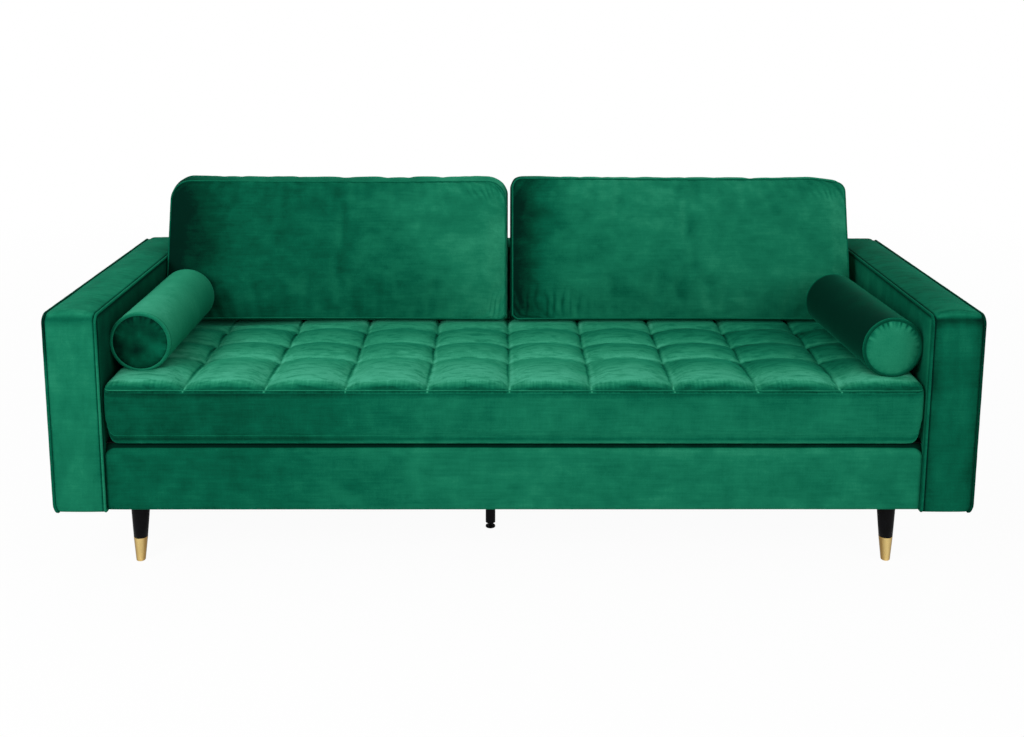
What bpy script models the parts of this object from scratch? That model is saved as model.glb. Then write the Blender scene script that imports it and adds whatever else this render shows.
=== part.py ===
"""Velvet sofa: a box frame on four tapered legs with a tufted bench cushion, two leaning back
cushions and two round bolsters.

Metres, +Z up. The sofa faces -Y and +X is on the right when it is seen from the front. The origin
is on the floor under the middle of the sofa.
"""

import math

import bmesh
import bpy
from mathutils import Matrix, Vector

# Whole sofa
OVERALL_WIDTH = 2.250
OVERALL_DEPTH = 0.870
FIT_GAP = 0.0003

# Arms
ARM_WIDTH = 0.125
ARM_TOP = 0.664
ARM_BOTTOM = 0.164
ARM_SKIN = 0.006
ARM_FRONT_PADDING = 0.020
ARM_TOP_PADDING = 0.022
ARM_CROWN = 0.011
ARM_TOP_CORNER = 0.020
ARM_BOTTOM_CORNER = 0.010
SKIN_RIM = 0.003
BAND_RIM = 0.002
CROWN_STEPS = 8

# Arm frame, a glued plywood box with windows that lighten it
ARM_FRAME_LIFT = 0.006
WINDOW_COLUMNS = 3
WINDOW_ROWS = 2
WINDOW_RIM = 0.050
WINDOW_BAR = 0.040

# Base frame
RAIL_BOTTOM = 0.170
RAIL_HEIGHT = 0.165
RAIL_THICKNESS = 0.030
REAR_RAIL_THICKNESS = 0.045
CENTRE_RAIL_WIDTH = 0.045
CENTRE_RAIL_HEIGHT = 0.130
BLOCK_SIDE = 0.090
BLOCK_HEIGHT = 0.050
BLOCK_CHAMFER = 0.040

# Padded front of the base
APRON_SETBACK = 0.010
APRON_THICKNESS = 0.020
APRON_BOTTOM = 0.166
APRON_TOP = 0.336
APRON_CLEARANCE = 0.004
APRON_TOP_ROUND = 0.012
APRON_BOTTOM_ROUND = 0.008

# Seat suspension
STRAP_COUNT = 10
STRAP_WIDTH = 0.060
STRAP_END_MARGIN = 0.115
STRAP_THICKNESS = 0.002
STRAP_REAR_INSET = 0.005
DECK_THICKNESS = 0.0015
DUST_COVER_THICKNESS = 0.001
DUST_COVER_CUTOUT = 0.002

# Back
BACK_THICKNESS = 0.110
BACK_POST_WIDTH = 0.060
BACK_TOP_RAIL_HEIGHT = 0.045

# Bench cushion
SEAT_CLEARANCE = 0.005
SEAT_BACK_CLEARANCE = 0.003
SEAT_FRONT_SETBACK = 0.003
SEAT_TOP_SEAM = 0.476
SEAT_LOWER_SEAM = 0.362
SEAT_STITCH_LEVEL = 0.478
SEAT_PILLOW = 0.017
SEAT_PINCH = 0.005
SEAT_BOXING_BULGE = 0.002
SEAT_UNDER_INSET = 0.012
SEAT_CORNER = 0.022
SEAT_PRESSED_LEVEL = 0.488
FRONT_ROW_DEPTH = 0.225
FRONT_ROLL_DEPTH = 0.012
TUFT_COLUMNS = 10
TUFT_ROWS = 5
TUFT_SHIFT = -0.012
COLUMN_STEPS = 4
FRONT_ROW_SHARES = (0.20, 0.47, 0.74, 1.0)
ROW_STEPS = 3
PILLOW_FULLNESS_SHARE = 0.6

# Back cushions
CUSHION_HEIGHT = 0.405
CUSHION_THICKNESS = 0.125
CUSHION_FRONT_CROWN = 0.026
CUSHION_REAR_CROWN = 0.012
CUSHION_TOP_CROWN = 0.030
CUSHION_DRAW = 0.004
CUSHION_CORNER = 0.034
CUSHION_LEAN = math.radians(19.0)
CUSHION_BACK_GAP = 0.0045
CUSHION_PAIR_GAP = 0.010
CUSHION_LEFT_ARM_GAP = 0.002
CUSHION_RIGHT_ARM_GAP = 0.026
CUSHION_COLUMNS = 20
CUSHION_ROWS = 12
CUSHION_FULLNESS_SHARE = 0.7
CUSHION_DRAW_POWER = 3
CUSHION_TOP_POWER = 4

# Bolsters
BOLSTER_RADIUS = 0.0755
BOLSTER_BACK_GAP = 0.002
BOLSTER_DOME = 0.009
BOLSTER_DOME_DROP = 0.00225
BOLSTER_RIM = 0.006
BOLSTER_LEFT_SETBACK = 0.084
BOLSTER_RIGHT_SETBACK = 0.044
BOLSTER_LEFT_TURN = 0.0
BOLSTER_RIGHT_TURN = math.radians(3.3)
BOLSTER_SETTLE = 0.0010
BOLSTER_STEPS = 24

# Legs
LEG_SIDE_INSET = 0.0585
LEG_END_INSET = 0.089
LEG_TOP_RADIUS = 0.0245
LEG_COLLAR_RADIUS = 0.0175
LEG_TOP_ROUND = 0.002
LEG_SPLAY = 0.005
LEG_STEPS = 20
STUD_RADIUS = 0.004
STUD_LENGTH = 0.028
STUD_CLEARANCE = 0.0015
FERRULE_HEIGHT = 0.064
FERRULE_FOOT_RADIUS = 0.0115
FERRULE_FOOT_ROUND = 0.003
FERRULE_WALL = 0.0012
PLATE_SIDE = 0.060
PLATE_THICKNESS = 0.003
PLATE_CORNER = 0.008

# Centre support
SUPPORT_X = -0.062
SUPPORT_SETBACK = 0.271
TUBE_RADIUS = 0.013
TUBE_WALL = 0.002
TUBE_BOTTOM = 0.014
INSERT_HEIGHT = 0.012
SPINDLE_RADIUS = 0.004
SPINDLE_CLEARANCE = 0.0003
SPINDLE_TOP = 0.052
GLIDE_RADIUS = 0.013
GLIDE_HEIGHT = 0.006
GLIDE_ROUND = 0.001
SUPPORT_STEPS = 20

# Rounding and cutting
ROUND_STEPS = 3
ROUND_PROFILE_SHARE = 0.5
SHARP_ANGLE = math.radians(30.0)
CUT_OVERRUN = 0.010
NEARLY = 1e-5
MERGE_DISTANCE = 1e-5

# Places that follow from the sizes above
HALF_WIDTH = OVERALL_WIDTH / 2
FRONT = -OVERALL_DEPTH / 2
REAR = OVERALL_DEPTH / 2
SEAT_HALF = HALF_WIDTH - ARM_WIDTH
CORE_REAR = REAR - ARM_SKIN - FIT_GAP
PADDING_UNDERSIDE = ARM_TOP - ARM_TOP_PADDING
BACK_FRONT = REAR - BACK_THICKNESS
RAIL_TOP = RAIL_BOTTOM + RAIL_HEIGHT
APRON_FRONT = FRONT + APRON_SETBACK
FRONT_RAIL_FRONT = APRON_FRONT + APRON_THICKNESS + FIT_GAP
FRONT_RAIL_REAR = FRONT_RAIL_FRONT + RAIL_THICKNESS
REAR_RAIL_FRONT = CORE_REAR - REAR_RAIL_THICKNESS
STRAP_BOTTOM = RAIL_TOP + FIT_GAP
DECK_BOTTOM = STRAP_BOTTOM + STRAP_THICKNESS + FIT_GAP
DECK_TOP = DECK_BOTTOM + DECK_THICKNESS
SEAT_BOTTOM = DECK_TOP + FIT_GAP
SEAT_FRONT = FRONT + SEAT_FRONT_SETBACK
SEAT_REAR = BACK_FRONT - SEAT_BACK_CLEARANCE
SEAT_HALF_WIDTH = SEAT_HALF - SEAT_CLEARANCE
PLATE_TOP = RAIL_BOTTOM - FIT_GAP
LEG_TOP = PLATE_TOP - PLATE_THICKNESS - FIT_GAP
LEG_X = SEAT_HALF - LEG_SIDE_INSET
LEG_Y = OVERALL_DEPTH / 2 - LEG_END_INSET
SUPPORT_Y = FRONT + SUPPORT_SETBACK

# The back cushions share the width between the arms and lean on the top edge of the back
CUSHION_GAPS = CUSHION_LEFT_ARM_GAP + CUSHION_PAIR_GAP + CUSHION_RIGHT_ARM_GAP
CUSHION_WIDTH = (SEAT_HALF * 2 - CUSHION_GAPS) / 2
CUSHION_FULL_THICKNESS = CUSHION_THICKNESS + CUSHION_REAR_CROWN
CUSHION_REACH = CUSHION_FULL_THICKNESS / math.cos(CUSHION_LEAN)
CUSHION_RUN_BACK = (ARM_TOP - SEAT_PRESSED_LEVEL) * math.tan(CUSHION_LEAN)
CUSHION_FOOT = BACK_FRONT - CUSHION_BACK_GAP - CUSHION_REACH - CUSHION_RUN_BACK

# Both bolsters have the length that fits between the left one's front end and the back cushion
BOLSTER_LENGTH = CUSHION_FOOT - BOLSTER_BACK_GAP - FRONT - BOLSTER_LEFT_SETBACK

X, Y, Z = range(3)


def clear_scene():
    for old in list(bpy.data.objects):
        bpy.data.objects.remove(old)


def make_collection(name):
    collection = bpy.data.collections.new(name)
    bpy.context.scene.collection.children.link(collection)
    return collection


def make_material(name, colour, roughness, metallic=0.0):
    material = bpy.data.materials.new(name)
    material.use_nodes = True
    shader = material.node_tree.nodes["Principled BSDF"]
    shader.inputs["Base Color"].default_value = (*colour, 1.0)
    shader.inputs["Roughness"].default_value = roughness
    shader.inputs["Metallic"].default_value = metallic
    return material


def make_object(name, shape, material, collection):
    """Turns a bmesh into a named object."""
    bmesh.ops.recalc_face_normals(shape, faces=shape.faces)
    mesh = bpy.data.meshes.new(name)
    shape.to_mesh(mesh)
    shape.free()
    mesh.shade_smooth()
    mesh.set_sharp_from_angle(angle=SHARP_ANGLE)
    piece = bpy.data.objects.new(name, mesh)
    mesh.materials.append(material)
    collection.objects.link(piece)
    return piece


# Edge tests: each takes the two ends of an edge


def on_side(axis, value):
    return lambda a, b: abs(a[axis] - value) < NEARLY and abs(b[axis] - value) < NEARLY


def above(axis, value):
    return lambda a, b: min(a[axis], b[axis]) > value - NEARLY


def along(axis):
    return lambda a, b: abs(a[axis] - b[axis]) > NEARLY


def round_edges(shape, radius, *tests):
    """Rounds the edges that pass every test."""
    chosen = [
        edge for edge in shape.edges if all(test(*(v.co for v in edge.verts)) for test in tests)
    ]
    bmesh.ops.bevel(
        shape,
        geom=chosen,
        offset=radius,
        offset_type="OFFSET",
        segments=ROUND_STEPS,
        profile=ROUND_PROFILE_SHARE,
        affect="EDGES",
        clamp_overlap=True,
    )


def block(low, high):
    """A box between two corners, as a bmesh."""
    low, high = Vector(low), Vector(high)
    shape = bmesh.new()
    place = Matrix.Translation((low + high) / 2) @ Matrix.Diagonal((*(high - low), 1.0))
    bmesh.ops.create_cube(shape, size=1.0, matrix=place)
    return shape


def rounded_outline(low, high, top_radius, bottom_radius):
    """A rectangle with rounded corners, as points in a plane, anticlockwise."""
    corners = (
        ((high[0] - bottom_radius, low[1] + bottom_radius), bottom_radius, -math.pi / 2),
        ((high[0] - top_radius, high[1] - top_radius), top_radius, 0.0),
        ((low[0] + top_radius, high[1] - top_radius), top_radius, math.pi / 2),
        ((low[0] + bottom_radius, low[1] + bottom_radius), bottom_radius, math.pi),
    )
    points = []
    for centre, radius, start in corners:
        for step in range(ROUND_STEPS + 1):
            turn = start + math.pi / 2 * step / ROUND_STEPS
            points.append(
                (centre[0] + radius * math.cos(turn), centre[1] + radius * math.sin(turn))
            )
    return points


def extrusion(outline, axis, start, end):
    """A flat outline drawn out along an axis. Its points are in the other two axes, in order."""
    others = [other for other in (X, Y, Z) if other != axis]
    shape = bmesh.new()
    ring = []
    for point in outline:
        corner = Vector()
        corner[axis] = start
        corner[others[0]], corner[others[1]] = point
        ring.append(shape.verts.new(corner))
    face = shape.faces.new(ring)
    drawn = bmesh.ops.extrude_face_region(shape, geom=[face])["geom"]
    path = Vector()
    path[axis] = end - start
    moved = [item for item in drawn if isinstance(item, bmesh.types.BMVert)]
    bmesh.ops.translate(shape, verts=moved, vec=path)
    return shape


def turned(name, profile, closed, steps, material, collection):
    """A profile of (radius, height), running down its outer side, turned about Z into a mesh."""
    mesh = bpy.data.meshes.new(name + "_profile")
    count = len(profile)
    edges = [(i, i + 1) for i in range(count - 1)]
    if closed:
        edges.append((count - 1, 0))
    mesh.from_pydata([(radius, 0.0, height) for radius, height in profile], edges, [])
    guide = bpy.data.objects.new(name + "_profile", mesh)
    collection.objects.link(guide)
    screw = guide.modifiers.new("turn", "SCREW")
    screw.steps = screw.render_steps = steps
    screw.use_merge_vertices = True
    screw.merge_threshold = MERGE_DISTANCE
    graph = bpy.context.evaluated_depsgraph_get()
    shape = bmesh.new()
    shape.from_mesh(bpy.data.meshes.new_from_object(guide.evaluated_get(graph)))
    bpy.data.objects.remove(guide)
    bmesh.ops.remove_doubles(shape, verts=shape.verts, dist=MERGE_DISTANCE)
    return make_object(name, shape, material, collection)


def arc(centre, radius, start, end):
    """Points of an arc in (radius, height), from one angle to another in degrees."""
    turns = [
        math.radians(start + (end - start) * step / ROUND_STEPS) for step in range(ROUND_STEPS + 1)
    ]
    return [(centre[0] + radius * math.cos(t), centre[1] + radius * math.sin(t)) for t in turns]


def cut(piece, cutter):
    """Cuts one object out of another and keeps the cutter as a hidden helper."""
    cutter.hide_render = True
    cutter.display_type = "WIRE"
    boolean = piece.modifiers.new("cut_" + cutter.name, "BOOLEAN")
    boolean.operation = "DIFFERENCE"
    boolean.solver = "EXACT"
    boolean.object = cutter


def side_name(side):
    return "left" if side < 0 else "right"


def arm_range(side, inner, outer):
    """The X range of a piece of an arm, given its distances from the arm's inner face."""
    near, far = side * (SEAT_HALF + inner), side * (SEAT_HALF + outer)
    return min(near, far), max(near, far)


def build_arm_frame(side, wood, parts, cutters):
    name = "arm_frame_" + side_name(side)
    inset = ARM_SKIN + FIT_GAP
    x_low, x_high = arm_range(side, inset, ARM_WIDTH - inset)
    front = FRONT + ARM_FRONT_PADDING + FIT_GAP
    bottom = ARM_BOTTOM + ARM_FRAME_LIFT
    top = PADDING_UNDERSIDE - FIT_GAP
    frame = make_object(
        name, block((x_low, front, bottom), (x_high, CORE_REAR, top)), wood, parts
    )
    bar_room = WINDOW_BAR * (WINDOW_COLUMNS - 1)
    width = (CORE_REAR - front - WINDOW_RIM * 2 - bar_room) / WINDOW_COLUMNS
    height = (top - bottom - WINDOW_RIM * 2 - WINDOW_BAR * (WINDOW_ROWS - 1)) / WINDOW_ROWS
    for column in range(WINDOW_COLUMNS):
        for row in range(WINDOW_ROWS):
            y_low = front + WINDOW_RIM + column * (width + WINDOW_BAR)
            z_low = bottom + WINDOW_RIM + row * (height + WINDOW_BAR)
            window = block(
                (x_low - CUT_OVERRUN, y_low, z_low),
                (x_high + CUT_OVERRUN, y_low + width, z_low + height),
            )
            cutter = make_object(f"{name}_window_{column}_{row}", window, wood, cutters)
            cut(frame, cutter)


def build_arm_padding(side, velvet, parts):
    which = side_name(side)
    outline = rounded_outline(
        (FRONT, ARM_BOTTOM), (CORE_REAR, ARM_TOP), ARM_TOP_CORNER, ARM_BOTTOM_CORNER
    )
    for layer, near, far in (
        ("inner", 0.0, ARM_SKIN),
        ("outer", ARM_WIDTH, ARM_WIDTH - ARM_SKIN),
    ):
        face_x, back_x = side * (SEAT_HALF + near), side * (SEAT_HALF + far)
        panel = extrusion(outline, X, back_x, face_x)
        round_edges(panel, SKIN_RIM, on_side(X, face_x))
        make_object(f"arm_{layer}_panel_{which}", panel, velvet, parts)

    x_low, x_high = arm_range(side, ARM_SKIN + FIT_GAP, ARM_WIDTH - ARM_SKIN - FIT_GAP)
    front = block(
        (x_low, FRONT, ARM_BOTTOM),
        (x_high, FRONT + ARM_FRONT_PADDING, PADDING_UNDERSIDE - FIT_GAP),
    )
    round_edges(front, ARM_BOTTOM_CORNER, on_side(Z, ARM_BOTTOM), on_side(Y, FRONT))
    round_edges(front, BAND_RIM, along(Z), on_side(Y, FRONT))
    make_object("arm_front_panel_" + which, front, velvet, parts)

    top = crowned_strip(x_low, x_high, X, FRONT, CORE_REAR)
    round_edges(top, ARM_TOP_CORNER, on_side(Y, FRONT), above(Z, ARM_TOP))
    make_object("arm_top_panel_" + which, top, velvet, parts)


def crowned_strip(low, high, across, start, end):
    """A flat-bottomed strip whose top rises in an even crown across its width."""
    half, middle = (high - low) / 2, (high + low) / 2
    outline = [(low, PADDING_UNDERSIDE), (high, PADDING_UNDERSIDE)]
    for step in range(CROWN_STEPS + 1):
        share = 1 - 2 * step / CROWN_STEPS
        outline.append((middle + half * share, ARM_TOP + ARM_CROWN * (1 - share**2)))
    return extrusion(outline, Y if across == X else X, start, end)


def build_base_frame(wood, parts, cutters):
    half = SEAT_HALF - FIT_GAP
    rails = {
        "base_front_rail": (-half, half, FRONT_RAIL_FRONT, FRONT_RAIL_REAR, RAIL_HEIGHT),
        "base_rear_rail": (-half, half, REAR_RAIL_FRONT, CORE_REAR, RAIL_HEIGHT),
    }
    y_low, y_high = FRONT_RAIL_REAR + FIT_GAP, REAR_RAIL_FRONT - FIT_GAP
    for side in (-1, 1):
        inner, outer = side * (half - RAIL_THICKNESS), side * half
        rails["base_side_rail_" + side_name(side)] = (
            min(inner, outer),
            max(inner, outer),
            y_low,
            y_high,
            RAIL_HEIGHT,
        )
    x_low = SUPPORT_X - CENTRE_RAIL_WIDTH / 2
    rails["base_centre_rail"] = (
        x_low,
        x_low + CENTRE_RAIL_WIDTH,
        y_low,
        y_high,
        CENTRE_RAIL_HEIGHT,
    )
    for name, (x0, x1, y0, y1, height) in rails.items():
        shape = block((x0, y0, RAIL_BOTTOM), (x1, y1, RAIL_BOTTOM + height))
        make_object(name, shape, wood, parts)

    for side in (-1, 1):
        for end in (-1, 1):
            build_corner_block(side, end, wood, parts, cutters)


def end_name(side, end):
    return ("front_" if end < 0 else "rear_") + side_name(side)


def build_corner_block(side, end, wood, parts, cutters):
    """A chamfered block between two rails, drilled for the stud of its leg."""
    name = "corner_block_" + end_name(side, end)
    x_outer = side * (SEAT_HALF - FIT_GAP - RAIL_THICKNESS - FIT_GAP)
    y_outer = FRONT_RAIL_REAR + FIT_GAP if end < 0 else REAR_RAIL_FRONT - FIT_GAP
    x_inner, y_inner = x_outer - side * BLOCK_SIDE, y_outer - end * BLOCK_SIDE
    outline = [
        (x_outer, y_outer),
        (x_outer, y_inner),
        (x_inner + side * BLOCK_CHAMFER, y_inner),
        (x_inner, y_inner + end * BLOCK_CHAMFER),
        (x_inner, y_outer),
    ]
    shape = extrusion(outline, Z, RAIL_BOTTOM, RAIL_BOTTOM + BLOCK_HEIGHT)
    body = make_object(name, shape, wood, parts)
    cut(body, drill(name, side, end, RAIL_BOTTOM - CUT_OVERRUN, wood, cutters))


def drill(name, side, end, bottom, material, cutters):
    """A drill for the leg's stud, from a height upwards."""
    top = LEG_TOP + STUD_LENGTH + CUT_OVERRUN
    radius = STUD_RADIUS + STUD_CLEARANCE
    profile = [(0.0, top), (radius, top), (radius, bottom), (0.0, bottom)]
    tool = turned(name + "_drill", profile, False, LEG_STEPS, material, cutters)
    tool.location = (side * LEG_X, end * LEG_Y, 0.0)
    return tool


def build_apron(velvet, parts):
    half = SEAT_HALF - APRON_CLEARANCE
    apron = block(
        (-half, APRON_FRONT, APRON_BOTTOM), (half, APRON_FRONT + APRON_THICKNESS, APRON_TOP)
    )
    round_edges(apron, APRON_TOP_ROUND, on_side(Y, APRON_FRONT), on_side(Z, APRON_TOP))
    round_edges(apron, APRON_BOTTOM_ROUND, on_side(Y, APRON_FRONT), on_side(Z, APRON_BOTTOM))
    make_object("base_front_panel", apron, velvet, parts)


def build_suspension(webbing, lining, parts, cutters):
    first = -SEAT_HALF + STRAP_END_MARGIN + STRAP_WIDTH / 2
    pitch = -first * 2 / (STRAP_COUNT - 1)
    for number in range(STRAP_COUNT):
        middle = first + pitch * number
        strap = block(
            (middle - STRAP_WIDTH / 2, FRONT_RAIL_FRONT, STRAP_BOTTOM),
            (
                middle + STRAP_WIDTH / 2,
                CORE_REAR - STRAP_REAR_INSET,
                STRAP_BOTTOM + STRAP_THICKNESS,
            ),
        )
        make_object(f"seat_strap_{number + 1}", strap, webbing, parts)

    half = SEAT_HALF - FIT_GAP
    deck = block((-half, FRONT_RAIL_FRONT, DECK_BOTTOM), (half, BACK_FRONT - FIT_GAP, DECK_TOP))
    make_object("deck_cloth", deck, lining, parts)

    cloth_top = RAIL_BOTTOM - FIT_GAP
    cloth = make_object(
        "dust_cover",
        block(
            (-half, FRONT_RAIL_FRONT, cloth_top - DUST_COVER_THICKNESS),
            (half, CORE_REAR, cloth_top),
        ),
        lining,
        parts,
    )
    places = [(side * LEG_X, end * LEG_Y) for side in (-1, 1) for end in (-1, 1)]
    places.append((SUPPORT_X, SUPPORT_Y))
    reach = PLATE_SIDE / 2 + DUST_COVER_CUTOUT
    for number, (x, y) in enumerate(places):
        hole = block(
            (x - reach, y - reach, cloth_top - CUT_OVERRUN),
            (x + reach, y + reach, cloth_top + CUT_OVERRUN),
        )
        cut(cloth, make_object(f"dust_cover_hole_{number}", hole, lining, cutters))


def build_back(wood, velvet, parts):
    half = SEAT_HALF - FIT_GAP
    top_rail_bottom = PADDING_UNDERSIDE - FIT_GAP - BACK_TOP_RAIL_HEIGHT
    rail = block(
        (-half, REAR_RAIL_FRONT, top_rail_bottom), (half, CORE_REAR, PADDING_UNDERSIDE - FIT_GAP)
    )
    make_object("back_top_rail", rail, wood, parts)

    end_middle = half - BACK_POST_WIDTH / 2
    for name, middle in (("left", -end_middle), ("centre", 0.0), ("right", end_middle)):
        post = block(
            (middle - BACK_POST_WIDTH / 2, REAR_RAIL_FRONT, RAIL_TOP + FIT_GAP),
            (middle + BACK_POST_WIDTH / 2, CORE_REAR, top_rail_bottom - FIT_GAP),
        )
        make_object("back_post_" + name, post, wood, parts)

    inner = block(
        (-half, BACK_FRONT, SEAT_BOTTOM),
        (half, REAR_RAIL_FRONT - FIT_GAP, PADDING_UNDERSIDE - FIT_GAP),
    )
    make_object("back_inner_panel", inner, velvet, parts)

    top = crowned_strip(BACK_FRONT, CORE_REAR, Y, -half, half)
    make_object("back_top_panel", top, velvet, parts)

    outline = rounded_outline(
        (-HALF_WIDTH, ARM_BOTTOM), (HALF_WIDTH, ARM_TOP), ARM_TOP_CORNER, ARM_BOTTOM_CORNER
    )
    outer = extrusion(outline, Y, REAR - ARM_SKIN, REAR)
    round_edges(outer, SKIN_RIM, on_side(Y, REAR))
    make_object("back_outer_panel", outer, velvet, parts)


def into_round_corner(x, y, half_x, half_y, radius):
    """Moves a point of a rectangular grid so that the grid's corners become round."""
    over_x, over_y = abs(x) - (half_x - radius), abs(y) - (half_y - radius)
    if over_x <= 0 or over_y <= 0:
        return x, y
    s, t = over_x / radius, over_y / radius
    over_x = radius * s * math.sqrt(1 - t * t / 2)
    over_y = radius * t * math.sqrt(1 - s * s / 2)
    return (
        math.copysign(half_x - radius + over_x, x),
        math.copysign(half_y - radius + over_y, y),
    )


def swell(u, v, fullness):
    """A pillow's height, from 0 at its edges to 1 in the middle, for u and v from -1 to 1."""
    return ((1 - u * u) * (1 - v * v)) ** fullness


def grid(columns, rows):
    """A flat unit grid from -1 to 1 both ways, as a bmesh."""
    shape = bmesh.new()
    bmesh.ops.create_grid(shape, x_segments=columns, y_segments=rows, size=1.0)
    return shape


def rim_edges(shape):
    return [edge for edge in shape.edges if edge.is_boundary]


def draw_rim(shape, place):
    """Extrudes the open rim once, then moves each new point by a function of its place."""
    drawn = bmesh.ops.extrude_edge_only(shape, edges=rim_edges(shape))["geom"]
    for point in (item for item in drawn if isinstance(item, bmesh.types.BMVert)):
        point.co = place(point.co)


def front_row_shares():
    """The front row's grid lines as shares of its depth, with the roll at its edge first."""
    return [0.0, FRONT_ROLL_DEPTH / FRONT_ROW_DEPTH, *FRONT_ROW_SHARES]


def row_lines():
    """The seat's stitch lines and the grid lines between them, as distances from its front."""
    lines = [FRONT_ROW_DEPTH * share for share in front_row_shares()]
    pitch = (SEAT_REAR - SEAT_FRONT - FRONT_ROW_DEPTH) / (TUFT_ROWS - 1)
    for step in range(1, ROW_STEPS * (TUFT_ROWS - 1) + 1):
        lines.append(FRONT_ROW_DEPTH + pitch * step / ROW_STEPS)
    return lines


def seat_cell(index, steps):
    """Where a grid line lies in its cell, from -1 to 1."""
    return 2 * (index % steps) / steps - 1 if index % steps else -1.0


def build_seat_cushion(velvet, parts):
    """The bench cushion: pillows between stitched lines, over a boxed edge."""
    lines = row_lines()
    columns, rows = TUFT_COLUMNS * COLUMN_STEPS, len(lines) - 1
    half_depth = (SEAT_REAR - SEAT_FRONT) / 2
    middle_y = (SEAT_REAR + SEAT_FRONT) / 2
    front_shares = front_row_shares()
    front_steps = len(front_shares) - 1
    row_step = lines[-1] - lines[-2]
    pressed_from = CUSHION_FOOT - CUSHION_FRONT_CROWN - row_step
    shape = grid(columns, rows)
    for point in shape.verts:
        column = round((point.co.x + 1) / 2 * columns)
        row = round((point.co.y + 1) / 2 * rows)
        across_share = column / columns * 2 - 1
        x = across_share * SEAT_HALF_WIDTH + TUFT_SHIFT * (1 - across_share**2)
        y = SEAT_FRONT + lines[row]
        u = seat_cell(column, COLUMN_STEPS)
        if row <= front_steps:
            v = 2 * front_shares[row] - 1
        else:
            v = seat_cell(row - front_steps, ROW_STEPS)
        at_edge = row in (0, rows) or column in (0, columns)
        stitched = abs(u) == 1 and abs(v) == 1
        level = SEAT_TOP_SEAM if at_edge else SEAT_STITCH_LEVEL - SEAT_PINCH * stitched
        z = level + SEAT_PILLOW * swell(u, v, PILLOW_FULLNESS_SHARE)
        if y > pressed_from:
            z = min(z, SEAT_PRESSED_LEVEL)
        x, y = into_round_corner(x, y - middle_y, SEAT_HALF_WIDTH, half_depth, SEAT_CORNER)
        point.co = (x, y + middle_y, z)

    def ring(outset, height):
        def place(co):
            x_share = co.x / SEAT_HALF_WIDTH
            y_share = (co.y - middle_y) / half_depth
            if abs(x_share) >= abs(y_share):
                return Vector((co.x + outset * math.copysign(1.0, co.x), co.y, height))
            return Vector((co.x, co.y + outset * math.copysign(1.0, y_share), height))

        return place

    draw_rim(shape, ring(SEAT_BOXING_BULGE, (SEAT_TOP_SEAM + SEAT_LOWER_SEAM) / 2))
    draw_rim(shape, ring(-SEAT_BOXING_BULGE, SEAT_LOWER_SEAM))
    draw_rim(shape, ring(-SEAT_UNDER_INSET, SEAT_BOTTOM))
    bmesh.ops.holes_fill(shape, edges=rim_edges(shape), sides=0)
    make_object("seat_cushion", shape, velvet, parts)


def build_back_cushion(name, middle_x, velvet, parts):
    """A boxed cushion, crowned front and back, drawn in along its sides and leaning back."""
    half_width, half_height = CUSHION_WIDTH / 2, CUSHION_HEIGHT / 2
    half_thickness = CUSHION_THICKNESS / 2
    shape = grid(CUSHION_COLUMNS, CUSHION_ROWS)
    outline = {}
    for point in shape.verts:
        u, v = point.co.x, point.co.y
        draw_x = CUSHION_DRAW * (1 - v * v) * abs(u) ** CUSHION_DRAW_POWER
        draw_y = CUSHION_DRAW * (1 - u * u) * abs(v) ** CUSHION_DRAW_POWER
        x, y = into_round_corner(
            u * half_width, v * half_height, half_width, half_height, CUSHION_CORNER
        )
        x -= math.copysign(draw_x, x)
        y -= math.copysign(draw_y, y)
        rise = swell(u, v, CUSHION_FULLNESS_SHARE)
        point.co = (x, y, half_thickness + CUSHION_FRONT_CROWN * rise)
        outline[point] = rise

    back = bmesh.ops.duplicate(shape, geom=shape.verts[:] + shape.edges[:] + shape.faces[:])
    for source, copy in back["vert_map"].items():
        if source in outline:
            copy.co.z = -half_thickness - CUSHION_REAR_CROWN * outline[source]
    bmesh.ops.reverse_faces(
        shape, faces=[item for item in back["geom"] if isinstance(item, bmesh.types.BMFace)]
    )
    sides = bmesh.ops.bridge_loops(shape, edges=rim_edges(shape))["faces"]
    belts = {edge for face in sides for edge in face.edges if abs(edge_rise(edge)) > NEARLY}
    bmesh.ops.subdivide_edges(shape, edges=list(belts), cuts=1)
    for point in shape.verts:
        if abs(point.co.z) < NEARLY and point.co.y > 0:
            top_share = point.co.y / half_height
            across_share = 1 - (point.co.x / half_width) ** CUSHION_TOP_POWER
            point.co.y += CUSHION_TOP_CROWN * top_share * across_share

    stand = Matrix.Rotation(math.pi / 2 - CUSHION_LEAN, 4, "X")
    foot = Vector((0.0, -half_height, half_thickness))
    rest = Vector((middle_x, CUSHION_FOOT, SEAT_PRESSED_LEVEL + FIT_GAP))
    bmesh.ops.transform(
        shape, matrix=Matrix.Translation(rest) @ stand @ Matrix.Translation(-foot), verts=shape.verts
    )
    for point in shape.verts:
        point.co.z = max(point.co.z, rest.z)
    make_object(name, shape, velvet, parts)


def edge_rise(edge):
    return edge.verts[0].co.z - edge.verts[1].co.z


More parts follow.
